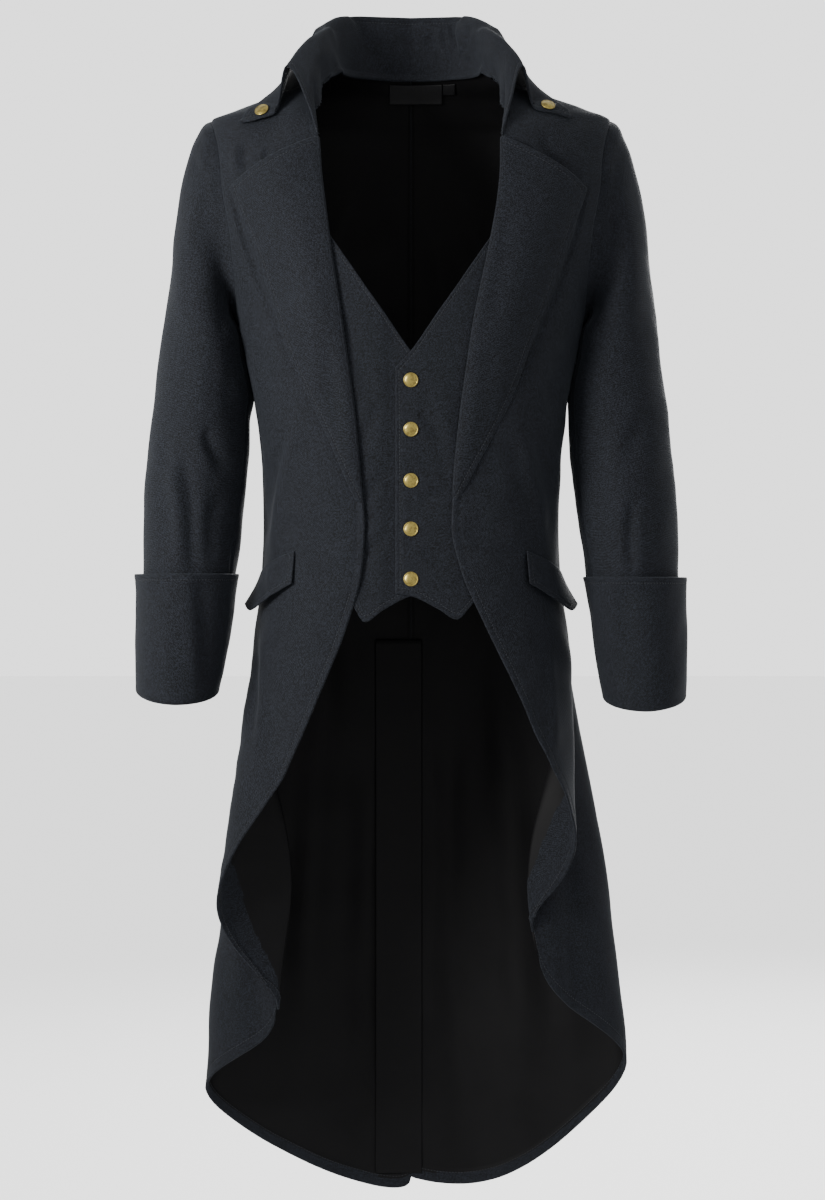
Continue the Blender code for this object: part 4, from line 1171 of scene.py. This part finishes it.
def cuff_piece(side, name):
    """Turned-back cuff: down outside the sleeve, round its end and up inside it.

    The turn is half a circle from the outer swell to the inner one, below the sleeve's end.
    """
    _, _, angle = sleeve_angles(side)
    first, last = CUFF["share"][[0, -1]]
    share = first + (last - first) * crowded(CUFF_ROWS, SMALL_CROWD)
    steps = [smooth(share, CUFF["share"], CUFF[step])
             for step in ("outer_step", "inner_step", "depth_step")]
    bend = np.linspace(0, np.pi, CUFF_TURN_ROWS + 2)[1:-1]
    back = np.linspace(0, 1, CUFF_RETURN_ROWS)
    shares = np.concatenate([share, np.full(len(bend), share[-1]), share[-1] - CUFF_RETURN * back])
    grown, sink = [], None
    for step in steps:
        middle, radius = (step[-1] - CUFF_INSIDE) / 2, (step[-1] + CUFF_INSIDE) / 2
        grown.append(np.concatenate([step, middle + radius * np.cos(bend),
                                     np.full(len(back), -CUFF_INSIDE)]))
        sink = np.concatenate([np.zeros(len(step)), radius * np.sin(bend), np.zeros(len(back))])
    plain = sleeve_ring(side, shares, angle, grown)
    plain[..., 2] -= sink[:, None]
    normals = ring_normals(plain, 2)
    down = run_down(plain)
    lift = uneven(name + "_cuff", plain, facing_front(angle))
    outside = 1 - ease((down - down[CUFF_ROWS - 1] + CALM["cuff"]) / CALM["cuff"])
    lift = lift * outside + stitch_dip(down, INSET["cuff"]) * outside
    lift = lift + CUFF_LIP * bell(down, CUFF_LIP_RUN)
    points, normals = lifted(plain, normals, lift)
    return wall(name + "_cuff", points, normals, COAT_CLOTH, [looks["cloth"]], closed=True)


def lapel_piece(side, name):
    """Lapel: facing inside the front, a round roll over its edge, then the face out to the point.

    The roll is half a circle from the facing's level to the lapel's, beyond the front's edge.
    """
    first, last = LAPEL["roll_drop"][[0, -1]]
    span = crowded(int((last - first) / LAPEL_PITCH), LOW_CROWD)
    roll_drop = first + span * (last - first)
    fine = np.linspace(0, len(FRONT_EDGE["right_turn"]) - 1, EDGE_POINTS)
    fine_turn, fine_drop = edge_line(side, "front", fine)
    roll_turn = np.interp(roll_drop, fine_drop, fine_turn)
    edge_turn, edge_drop = [smooth(roll_drop, LAPEL["roll_drop"], LAPEL[name + part])
                            for part in ("_turn", "_drop")]
    share = crowded(LAPEL_COLUMNS)
    turn = ruled(roll_turn[:, None], edge_turn[:, None], share)
    drop = ruled(roll_drop[:, None], edge_drop[:, None], share)
    wide = (edge_turn - roll_turn)[:, None] / np.max(edge_turn - roll_turn)
    lift = LAPEL_STAND + LAPEL_BULGE * np.sin(np.pi * share ** LAPEL_ROLL) * wide
    plain, _ = surface(side, turn, drop, lift)
    across, down = run_across(plain), run_down(plain)
    calm = ease(across / CALM["lapel"])
    sink = LAPEL_SINK * ease((roll_drop - LAPEL_SINK_FROM) / LAPEL_SINK_RUN)[:, None]
    lift = lift + uneven(name + "_lapel", plain) * calm - sink
    lift = lift + stitch_dip(across[:, -1:] - across, INSET["lapel"])
    lift = lift + stitch_dip(down, INSET["lapel"]) * calm
    face, outward = surface(side, turn, drop, lift)
    bend = np.linspace(-np.pi / 2, np.pi / 2, ROLL_COLUMNS + 2)[1:-1]
    level = -(COAT_CLOTH + FACING_GAP)
    radius = (lift[:, :1] - level) / 2
    bent = (lift[:, :1] + level) / 2 + radius * np.sin(bend)
    roll, _ = surface(side, roll_turn[:, None], roll_drop[:, None], bent)
    beyond = unit(shape(side, roll_turn - STEP_TURN, roll_drop)
                  - shape(side, roll_turn + STEP_TURN, roll_drop))
    roll = roll + beyond[:, None, :] * (radius * np.cos(bend))[..., None]
    inside = roll_turn[:, None] + np.linspace(FACING_WIDTH, 0, FACING_COLUMNS)
    facing, _ = surface(side, inside, roll_drop[:, None], level)
    points = np.concatenate([facing, roll, face], axis=1)
    normals = grid_normals(points)
    normals = normals * np.sign(np.sum(normals[:, -LAPEL_COLUMNS:] * outward))
    return wall(name + "_lapel", points, normals, COAT_CLOTH, [looks["cloth"]])


def neck_seam(side, at):
    """The neck seam from centre back to the front edge, at the panels' own points."""
    behind = at <= NECK_END
    back_turn, back_drop = edge_line(side, "back", NECK_END - at)
    front_turn, front_drop = edge_line(side, "front", at - NECK_END)
    turn = np.where(behind, back_turn, front_turn)
    drop = np.where(behind, back_drop, front_drop)
    return surface(side, turn, drop, -NECK_SINK)[0]


def height_below(points):
    """Height of the coat's outer face straight below or above each point, by halving."""
    low = np.full(points.shape[:-1], BODY["drop"][0])
    high = np.full(points.shape[:-1], SHOULDER_SEARCH)
    for _ in range(HALVINGS):
        middle = (low + high) / 2
        half, front_depth, back_depth, power = body_ring(middle)
        depth = np.where(points[..., 1] < 0, front_depth, back_depth)
        reach = np.abs(points[..., 0] / half) ** power + np.abs(points[..., 1] / depth) ** power
        high = np.where(reach < 1, middle, high)
        low = np.where(reach < 1, low, middle)
    return NECK_LEVEL - (low + high) / 2


def collar_half(side, at, share):
    """Half of the collar: a monotone curve from seam to tip at each place along the neck.

    The upper cloth then moves up or down, with the square of its height, to the drawn top line.
    """
    lines = [neck_seam(side, at)]
    for line in COLLAR_LINES:
        place = [smooth(at, NECK_STATIONS, COLLAR[line + "_" + axis]) for axis in "xyz"]
        if side == LEFT:
            forward = ease(at / COLLAR_LEFT_FULL)
            place[0] = place[0] - COLLAR_LEFT_TUCK[line] * forward
            if line in ("foot", "tip"):
                place[2] = place[2] + COLLAR_LEFT_LIFT * forward
        place[0] = side * place[0]
        lines.append(np.stack(place, axis=-1))
    curve = smooth(share, COLLAR_AT, np.array(lines))
    top, foot = curve[..., 2].max(axis=0), curve[0, :, 2]
    wanted = smooth(at, COLLAR_TOP["at"], COLLAR_TOP[SIDES[side]])
    rise = (wanted - top) * ease((COLLAR_TOP_END - at) / COLLAR_TOP_SOFT)
    curve[..., 2] += rise * np.clip((curve[..., 2] - foot) / (top - foot), 0, 1) ** 2
    rest = height_below(curve) + COLLAR_CLEAR
    turned = share[:, None] > COLLAR_AT[2]
    curve[..., 2] = np.where(turned, np.maximum(curve[..., 2], rest), curve[..., 2])
    return curve


def collar_piece():
    """Collar: both halves joined at centre back, creased and stitched near its edges.

    Two rows below the seam tuck its base inside the neck.
    """
    even = np.linspace(0, NECK_STATIONS[-1], COLLAR_COLUMNS)
    slow = NECK_STATIONS[-1] * np.sin(np.linspace(0, np.pi / 2, COLLAR_COLUMNS))
    at = even * COLLAR_EVEN + slow * (1 - COLLAR_EVEN)
    share = crowded(COLLAR_ROWS, COLLAR_ROW_CROWD)
    right, left = [collar_half(side, at, share) for side in SIDES]
    plain = np.concatenate([right[:, ::-1], left[:, 1:]], axis=1)
    normals = grid_normals(plain)
    normals = normals * np.sign(normals[1, COLLAR_COLUMNS - 1, 1])
    deep = COLLAR_TUCK * ease(plain[:1, :, 1:2] / COLLAR_TUCK_SOFT + 1.0) * COLLAR_TUCK_ROWS
    base = plain[:1] - unit(plain[1:2] - plain[:1]) * deep - normals[:1] * COLLAR_STAND_OFF
    plain = np.concatenate([base, plain])
    normals = np.concatenate([normals[:1], normals[:1], normals])
    across, down = run_across(plain), run_down(plain)
    down = np.maximum(down - down[len(base)], 0.0)
    from_ends = np.minimum(across, across[:, -1:] - across)
    front = ease(-plain[..., 1] / COLLAR_TUCK_SOFT + 0.5)
    lift = uneven("tall_collar", plain, front) * ease(down / CALM["collar"])
    lift = lift * ease(from_ends / CALM["collar"]) + seam_dip(down)
    for distance in (from_ends, down[-1:] - down):
        lift = lift - stitch_dip(distance, INSET["collar"])
    points = plain + normals * lift[..., None]
    return wall("tall_collar", points, facing_out(points, normals), COLLAR_CLOTH, [looks["cloth"]])


def waistcoat_piece(side, name):
    """Half of the false waistcoat, ruled from its V edge to its pointed hem."""
    near = -WAISTCOAT_OVERLAP if side == LEFT else -WAISTCOAT_UNDERLAP
    span = crowded(WAISTCOAT_COLUMNS, SMALL_CROWD)
    across = near + (WAISTCOAT["across"][-1] - near) * span
    top, bottom, tuck = [smooth(across, WAISTCOAT["across"], WAISTCOAT[part])
                         for part in ("top", "bottom_" + name, "tuck")]
    if side == RIGHT:
        under = 1 - ease((across - WAISTCOAT_OVERLAP) / WAISTCOAT_BLEND)
        tuck = tuck + WAISTCOAT_STEP * under
    drop = ruled(top, bottom, crowded(WAISTCOAT_ROWS, SMALL_CROWD)[:, None])
    turn = turn_of(across, drop)
    plain, _ = surface(side, turn, drop, -tuck)
    wide, down = run_across(plain), run_down(plain)
    calm = ease(wide / CALM["placket"]) * ease((wide[:, -1:] - wide) / CALM["waistcoat"])
    lift = np.minimum(uneven(name + "_waistcoat", plain) * calm, WAISTCOAT_HIGHEST) - tuck
    for distance in (down, down[-1:] - down):
        lift = lift + stitch_dip(distance, INSET["waistcoat"])
    if side == LEFT:
        lift = lift + stitch_dip(wide, INSET["placket"])
    points, outward = surface(side, turn, drop, lift)
    return wall(name + "_waistcoat", points, facing_out(points, outward), WAISTCOAT_CLOTH,
                [looks["waistcoat"], looks["lining"]], lined=True)


def flap_piece(side, name):
    """Pocket flap, standing further off the coat towards the side."""
    first, last = FLAP["turn"][[0, -1]]
    turn = first + (last - first) * crowded(FLAP_COLUMNS, SMALL_CROWD)
    top, bottom, top_lift, bottom_lift = [smooth(turn, FLAP["turn"], FLAP[part]) for part in
                                          ("top", "bottom", "top_lift", "bottom_lift")]
    share = crowded(FLAP_ROWS, SMALL_CROWD)[:, None]
    drop = ruled(top, bottom, share)
    lift = ruled(top_lift, bottom_lift, share) + COAT_CLOTH
    plain, _ = surface(side, turn, drop, lift)
    across, down = run_across(plain), run_down(plain)
    edges = np.minimum(np.minimum(across, across[:, -1:] - across), down[-1:] - down)
    lift = lift + creased(name + "_flap", plain) * ease(down / CALM["flap"])
    lift = lift + stitch_dip(edges, INSET["flap"]) + waved(name + "_flap", plain)
    points, outward = surface(side, turn, drop, lift)
    return wall(name + "_flap", points, facing_out(points, outward), COAT_CLOTH, [looks["cloth"]])


def label_piece(name, size):
    """Small ribbon on the inner face of the backs, below the neck seam, with a low belly."""
    left, right, top, bottom = size
    across = (left + (right - left) * crowded(LABEL_COLUMNS, LOW_CROWD))[None, :]
    drop = (top + (bottom - top) * crowded(LABEL_ROWS, LOW_CROWD))[:, None]
    belly = LABEL_BELLY * np.sin(np.pi * (across - left) / (right - left))
    inset = COAT_CLOTH + LAID_GAP + LABEL_HANG * (drop - top) / LABEL_DEPTH + belly
    points, normals = surface(LEFT, turn_behind(across, drop), drop, -inset)
    return wall(name, points, normals, LABEL_CLOTH, [looks["ribbon"]])


def stud_piece(name, seat, normal):
    """Press stud: a profile turned about its axis, with a rolled rim, a groove and a low dome."""
    around = np.linspace(0, 2 * np.pi, STUD_SEGMENTS, endpoint=False)
    first = unit(np.cross(np.array([0.0, 0.0, 1.0]), normal))
    second = np.cross(normal, first)
    ring = np.cos(around)[:, None] * first + np.sin(around)[:, None] * second
    reach, rise = STUD_PROFILE["reach"][1:-1], STUD_PROFILE["rise"][1:-1]
    rows = (seat + ring[None] * (STUD_RADIUS * reach)[:, None, None]
            + normal * (STUD_HEIGHT * rise)[:, None, None])
    poles = seat + normal * STUD_HEIGHT * STUD_PROFILE["rise"][[0, -1], None]
    vertices = np.concatenate([rows.reshape(-1, 3), poles])
    count = len(reach) * STUD_SEGMENTS
    column = np.arange(STUD_SEGMENTS)
    after = (column + 1) % STUD_SEGMENTS
    low = np.stack([after, column, np.full(STUD_SEGMENTS, count)], axis=-1)
    high = count - STUD_SEGMENTS
    top = np.stack([high + column, high + after, np.full(STUD_SEGMENTS, count + 1)], axis=-1)
    sides = quads(len(reach), STUD_SEGMENTS, 0, True)
    halves = np.concatenate([sides[:, [0, 1, 2]], sides[:, [0, 2, 3]]])
    faces = np.concatenate([halves, low, top])
    return add_mesh(name, vertices, faces, [looks["brass"]])


def stitched(name, lines, sizes):
    """Rows of stitches: short threads that lie along a path and dip into the cloth at both ends."""
    spots, ways, ups = [], [], []
    half = sizes.stitch_length / 2
    for path, normals in lines:
        run = np.append(0, np.cumsum(np.linalg.norm(np.diff(path, axis=0), axis=-1)))
        start = np.arange(sizes.stitch_pitch, run[-1] - sizes.stitch_pitch, sizes.stitch_pitch)
        spot, up, before, after = [
            np.stack([np.interp(start + shift, run, values[:, axis]) for axis in range(3)], -1)
            for shift, values in ((0.0, path), (0.0, normals), (-half, path), (half, path))]
        spots.append(spot)
        ups.append(unit(up))
        ways.append(unit(after - before))
    spots, ups, ways = (np.concatenate(part)[:, None, None] for part in (spots, ups, ways))
    aside = np.cross(ups, ways)
    turn = np.linspace(0, 2 * np.pi, THREAD_SIDES, endpoint=False)[None, None, :, None]
    along, fat, rise = [values[None, :, None, None] for values in THREAD.values()]
    radius = sizes.thread_radius
    rings = (spots + ways * along * sizes.stitch_length + ups * radius * rise
             + fat * radius * (aside * np.cos(turn) * THREAD_WIDTH + ups * np.sin(turn)))
    count, rows = rings.shape[:2]
    each = rows * THREAD_SIDES
    low = np.array([[0, 5, 4, 3], [0, 3, 2, 1]])
    high = np.array([[0, 1, 2, 3], [0, 3, 4, 5]]) + each - THREAD_SIDES
    faces = np.concatenate([quads(rows, THREAD_SIDES, 0, True), low, high])
    faces = (faces[None] + each * np.arange(count)[:, None, None]).reshape(-1, 4)
    made = add_mesh(name, rings.reshape(-1, 3), faces, [looks["thread"]])


def traced(name, edge, inset, start=0.0, stop=1.0):
    """The path a set distance in from one edge of a stored grid, and the normals along it.

    Along each row the place is found where the length from the edge reaches the distance.
    """
    points, normals = grids[name]
    if edge in ("top", "hem"):
        points, normals = points.swapaxes(0, 1), normals.swapaxes(0, 1)
    if edge in ("hem", "outer"):
        points, normals = points[:, ::-1], normals[:, ::-1]
    run = run_across(points)
    low = np.clip((run < inset).sum(axis=1) - 1, 0, run.shape[1] - 2)
    row = np.arange(len(points))
    part = (inset - run[row, low]) / np.maximum(run[row, low + 1] - run[row, low], 1e-9)
    part = np.clip(part, 0, 1)[:, None]
    path = ruled(points[row, low], points[row, low + 1], part)
    ups = ruled(normals[row, low], normals[row, low + 1], part)
    first, last = int(start * (len(path) - 1)), int(stop * (len(path) - 1)) + 1
    return path[first:last], ups[first:last]


def other_face(line, thickness):
    """A path moved from the outer face of a wall to its inner face."""
    path, ups = line
    return path - ups * thickness, -ups


class TailcoatSizes(bpy.types.PropertyGroup):
    """Sizes of the stitching"""
    stitch_length: FloatProperty(name="Stitch length", description="Length of one stitch",
                                 default=0.0027, unit="LENGTH")
    stitch_pitch: FloatProperty(name="Stitch pitch", description="From one stitch to the next",
                                default=0.0035, unit="LENGTH")
    thread_radius: FloatProperty(name="Thread radius", description="Half the thread's thickness",
                                 default=0.00034, unit="LENGTH")


class TailcoatColours(bpy.types.PropertyGroup):
    """Colours of the cloth, the studs and the floor"""
    cloth_dark: FloatVectorProperty(name="Cloth, dark", description="Hollows of the twill",
                                    default=(0.0004, 0.0005, 0.0008), subtype="COLOR")
    cloth_light: FloatVectorProperty(name="Cloth, light", description="Raised wales of the twill",
                                     default=(0.0066, 0.0077, 0.0105), subtype="COLOR")
    # Lining colours: partly the lining's own black, partly painted shade for the inside of the coat
    lining_dark: FloatVectorProperty(name="Lining, dark", description="Shaded lining",
                                     default=(0.0010, 0.0010, 0.0011), subtype="COLOR")
    lining_light: FloatVectorProperty(name="Lining, light", description="Lit lining",
                                      default=(0.0027, 0.0026, 0.0029), subtype="COLOR")
    brass: FloatVectorProperty(name="Brass", description="Clean metal of the studs",
                               default=(0.155, 0.123, 0.037), subtype="COLOR")
    tarnish: FloatVectorProperty(name="Tarnish", description="Dulled metal of the studs",
                                 default=(0.062, 0.045, 0.014), subtype="COLOR")
    floor: FloatVectorProperty(name="Floor", description="Pale floor",
                               default=(0.86, 0.86, 0.86), subtype="COLOR")


class TailcoatStage(bpy.types.PropertyGroup):
    """Camera, floor and surround"""
    distance: FloatProperty(name="Camera distance", description="From the camera to the coat",
                            default=4.0, unit="LENGTH")
    height: FloatProperty(name="Camera height", description="Level of the camera",
                          default=-0.539, unit="LENGTH")
    aside: FloatProperty(name="Camera place", description="Camera's place across",
                         default=0.0017, unit="LENGTH")
    lens: FloatProperty(name="Lens", description="Focal length in millimetres", default=109.09)
    floor_level: FloatProperty(name="Floor level", description="Level of the floor",
                               default=-1.46, unit="LENGTH")
    ambient: FloatProperty(name="Ambient light", description="Strength of the pale surround",
                           default=2.1)
    backdrop: FloatProperty(name="Backdrop", description="How bright the surround itself looks",
                            default=2.05)


def declare(piece, node):
    """Hides the CAD node that a cloth piece stands for."""
    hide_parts(node)


class TAILCOAT_OT_fronts(bpy.types.Operator):
    """Both fronts, from shoulder and neck to the cut-away and hem"""
    bl_idname = "tailcoat.fronts"
    bl_label = "Fronts"

    def execute(self, context):
        make_looks(context.scene.tailcoat_colours)
        for side, name in SIDES.items():
            declare(panel(side, "front"), "front_" + name)
        return {"FINISHED"}


class TAILCOAT_OT_backs(bpy.types.Operator):
    """Both backs with their tails, and the strip behind the vent"""
    bl_idname = "tailcoat.backs"
    bl_label = "Backs"

    def execute(self, context):
        for side, name in SIDES.items():
            declare(panel(side, "back"), "back_" + name)
        declare(underlap_piece(), "vent_underlap")
        return {"FINISHED"}


class TAILCOAT_OT_sleeves(bpy.types.Operator):
    """Both sleeves, with the elbow's creases"""
    bl_idname = "tailcoat.sleeves"
    bl_label = "Sleeves"

    def execute(self, context):
        for side, name in SIDES.items():
            declare(sleeve_piece(side, name), "sleeve_" + name)
        return {"FINISHED"}


class TAILCOAT_OT_cuffs(bpy.types.Operator):
    """Deep cuffs, turned back over the sleeves"""
    bl_idname = "tailcoat.cuffs"
    bl_label = "Cuffs"

    def execute(self, context):
        for side, name in SIDES.items():
            declare(cuff_piece(side, name), "cuff_" + name)
        return {"FINISHED"}


class TAILCOAT_OT_collar(bpy.types.Operator):
    """Tall collar, turned down at the front"""
    bl_idname = "tailcoat.collar"
    bl_label = "Collar"

    def execute(self, context):
        declare(collar_piece(), "collar")
        return {"FINISHED"}


class TAILCOAT_OT_lapels(bpy.types.Operator):
    """Wide peaked lapels with their rolls and facings"""
    bl_idname = "tailcoat.lapels"
    bl_label = "Lapels"

    def execute(self, context):
        for side, name in SIDES.items():
            declare(lapel_piece(side, name), "lapel_" + name)
        return {"FINISHED"}


class TAILCOAT_OT_waistcoat(bpy.types.Operator):
    """False waistcoat in two halves"""
    bl_idname = "tailcoat.waistcoat"
    bl_label = "Waistcoat"

    def execute(self, context):
        for side, name in SIDES.items():
            declare(waistcoat_piece(side, name), "waistcoat_" + name)
        return {"FINISHED"}


class TAILCOAT_OT_flaps(bpy.types.Operator):
    """Pocket flaps that stand off the coat"""
    bl_idname = "tailcoat.flaps"
    bl_label = "Pocket flaps"

    def execute(self, context):
        for side, name in SIDES.items():
            declare(flap_piece(side, name), "pocket_flap_" + name)
        return {"FINISHED"}


class TAILCOAT_OT_labels(bpy.types.Operator):
    """Bare neck label and size tab"""
    bl_idname = "tailcoat.labels"
    bl_label = "Labels"

    def execute(self, context):
        for name, size, node in (("neck_ribbon", LABEL, "neck_label"),
                                 ("tab_ribbon", SIZE_TAB, "size_tab")):
            declare(label_piece(name, size), node)
        return {"FINISHED"}


class TAILCOAT_OT_studs(bpy.types.Operator):
    """Brass press studs on the placket and the collar points"""
    bl_idname = "tailcoat.studs"
    bl_label = "Studs"

    def execute(self, context):
        tuck = smooth(0.0, WAISTCOAT["across"], WAISTCOAT["tuck"])
        for number, drop in enumerate(FRONT_STUD_DROPS, start=1):
            seat, normal = surface(LEFT, 0.0, drop, -tuck)
            made = stud_piece("placket_stud_%d" % number, seat, normal)
            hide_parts("front_stud_%d" % number)
        points, normals = grids["tall_collar"]
        for name in SIDES.values():
            low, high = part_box("collar_stud_" + name)
            centre = (np.array(low) + np.array(high)) / 2
            far = np.linalg.norm(points - centre, axis=-1)
            nearest = np.unravel_index(far.argmin(), far.shape)
            normal = -normals[nearest]
            normal = normal * np.sign(normal[2])
            inner = points[nearest] - normals[nearest] * COLLAR_CLOTH
            offset = np.sum((inner - centre) * normal)
            made = stud_piece("collar_point_stud_" + name, centre + normal * offset, normal)
            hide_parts("collar_stud_" + name)
        return {"FINISHED"}


class TAILCOAT_OT_stitching(bpy.types.Operator):
    """Rows of stitches along the edges, hems and placket"""
    bl_idname = "tailcoat.stitching"
    bl_label = "Stitching"

    def execute(self, context):
        sizes = context.scene.tailcoat_sizes
        for name in SIDES.values():
            front, back, lapel = name + "_front", name + "_back", name + "_lapel"
            flap, waistcoat = name + "_flap", name + "_waistcoat"
            lines = [traced(front, "inner", INSET["coat"], SEWN_FROM["front"]),
                     traced(front, "hem", HEM_DEPTH),
                     traced(back, "hem", HEM_DEPTH),
                     traced(back, "inner", INSET["coat"], SEWN_FROM["back"])]
            lines += [other_face(line, COAT_CLOTH + HEM_THICK) for line in lines[:3]]
            stitched(name + "_coat_stitches", lines, sizes)
            lines = [traced(lapel, "outer", INSET["lapel"]),
                     traced(lapel, "top", INSET["lapel"], SEWN_FROM["lapel"]),
                     traced(name + "_cuff", "top", INSET["cuff"])]
            lines += [traced(flap, edge, INSET["flap"]) for edge in ("inner", "outer", "hem")]
            stitched(name + "_trim_stitches", lines, sizes)
            lines = [traced(waistcoat, edge, INSET["waistcoat"]) for edge in ("top", "hem")]
            if name == "left":
                lines.append(traced(waistcoat, "inner", INSET["placket"], *PLACKET_SEWN))
            stitched(name + "_waistcoat_stitches", lines, sizes)
        edges = ("inner", "outer", "hem")
        lines = [traced("tall_collar", edge, INSET["collar"]) for edge in edges]
        lines += [other_face(line, COLLAR_CLOTH) for line in lines]
        stitched("collar_stitches", lines, sizes)
        return {"FINISHED"}


def add_light(name, place, aim, size, power, colour, spread):
    """Adds a round lamp that shines from its place towards its aim and isn't seen itself."""
    lamp = bpy.data.lights.new(name, "AREA")
    lamp.shape = "DISK"
    lamp.size = size
    lamp.energy = power
    lamp.color = colour
    lamp.spread = spread
    made = bpy.data.objects.new(name, lamp)
    made.location = place
    made.visible_camera = False
    way = np.array(aim) - np.array(place)
    yaw = np.arctan2(-way[0], way[1])
    made.rotation_euler = (np.pi / 2 + np.arctan2(way[2], np.hypot(way[0], way[1])), 0.0, yaw)
    bpy.context.scene.collection.objects.link(made)


class TAILCOAT_OT_stage(bpy.types.Operator):
    """Pale floor, soft lights and the camera"""
    bl_idname = "tailcoat.stage"
    bl_label = "Stage"

    def execute(self, context):
        stage = context.scene.tailcoat_stage
        colours = context.scene.tailcoat_colours
        camera = bpy.data.cameras.new("camera")
        camera.lens = stage.lens
        camera.sensor_width = SENSOR_WIDTH
        made = bpy.data.objects.new("camera", camera)
        made.location = (stage.aside, -stage.distance, stage.height)
        made.rotation_euler = (np.pi / 2, 0.0, 0.0)
        context.scene.collection.objects.link(made)
        context.scene.camera = made
        level = stage.floor_level
        corners = [(across * FLOOR_REACH, along * FLOOR_REACH, level)
                   for across, along in ((-1, -1), (1, -1), (1, 1), (-1, 1))]
        mesh = bpy.data.meshes.new("floor")
        mesh.from_pydata(corners, [], [(0, 1, 2, 3)])
        skin = Skin("pale_floor", Roughness=0.9)
        grain = skin.noise(3.0, 4.0)
        darker = [part * 0.97 for part in colours.floor]
        skin.set(Base_Color=skin.mix(grain * 0.2, colours.floor, darker))
        mesh.materials.append(skin.material)
        floor = bpy.data.objects.new("floor", mesh)
        context.scene.collection.objects.link(floor)
        world = bpy.data.worlds.new("surround")
        world.use_nodes = True
        tree = world.node_tree
        back = tree.nodes["Background"]
        back.inputs["Color"].default_value = (1.0, 1.0, 1.0, 1.0)
        seen = tree.nodes.new("ShaderNodeLightPath").outputs["Is Camera Ray"]
        strength = tree.nodes.new("ShaderNodeMapRange")
        strength.inputs["To Min"].default_value = stage.ambient
        strength.inputs["To Max"].default_value = stage.backdrop
        tree.links.new(seen, strength.inputs["Value"])
        tree.links.new(strength.outputs["Result"], back.inputs["Strength"])
        context.scene.world = world
        for light in LIGHTS:
            add_light(*light)
        return {"FINISHED"}


class TAILCOAT_PT_panel(bpy.types.Panel):
    """Lists the coat's pieces in the 3D view's sidebar"""
    bl_idname = "TAILCOAT_PT_panel"
    bl_label = "Tailcoat"
    bl_space_type = "VIEW_3D"
    bl_region_type = "UI"
    bl_category = "Tailcoat"

    def draw(self, context):
        for operator in OPERATORS:
            self.layout.operator(operator.bl_idname)
        for group in ("tailcoat_sizes", "tailcoat_colours", "tailcoat_stage"):
            settings = getattr(context.scene, group)
            for name in settings.__annotations__:
                self.layout.prop(settings, name)


OPERATORS = (TAILCOAT_OT_fronts, TAILCOAT_OT_backs, TAILCOAT_OT_sleeves, TAILCOAT_OT_cuffs,
             TAILCOAT_OT_collar, TAILCOAT_OT_lapels, TAILCOAT_OT_waistcoat, TAILCOAT_OT_flaps,
             TAILCOAT_OT_labels, TAILCOAT_OT_studs, TAILCOAT_OT_stitching, TAILCOAT_OT_stage)
GROUPS = (("tailcoat_sizes", TailcoatSizes), ("tailcoat_colours", TailcoatColours),
          ("tailcoat_stage", TailcoatStage))


def register():
    """Adds the settings, the operators and the panel to Blender."""
    for name, group in GROUPS:
        bpy.utils.register_class(group)
        setattr(bpy.types.Scene, name, PointerProperty(type=group))
    for operator in OPERATORS:
        bpy.utils.register_class(operator)
    bpy.utils.register_class(TAILCOAT_PT_panel)


def unregister():
    """Takes them out again, last one first."""
    bpy.utils.unregister_class(TAILCOAT_PT_panel)
    for operator in reversed(OPERATORS):
        bpy.utils.unregister_class(operator)
    for name, group in reversed(GROUPS):
        delattr(bpy.types.Scene, name)
        bpy.utils.unregister_class(group)


def main():
    """Builds every piece and the stage."""
    register()
    bpy.ops.tailcoat.fronts()
    bpy.ops.tailcoat.backs()
    bpy.ops.tailcoat.sleeves()
    bpy.ops.tailcoat.cuffs()
    bpy.ops.tailcoat.collar()
    bpy.ops.tailcoat.lapels()
    bpy.ops.tailcoat.waistcoat()
    bpy.ops.tailcoat.flaps()
    bpy.ops.tailcoat.labels()
    bpy.ops.tailcoat.studs()
    bpy.ops.tailcoat.stitching()
    bpy.ops.tailcoat.stage()


if __name__ == "__main__":
    main()
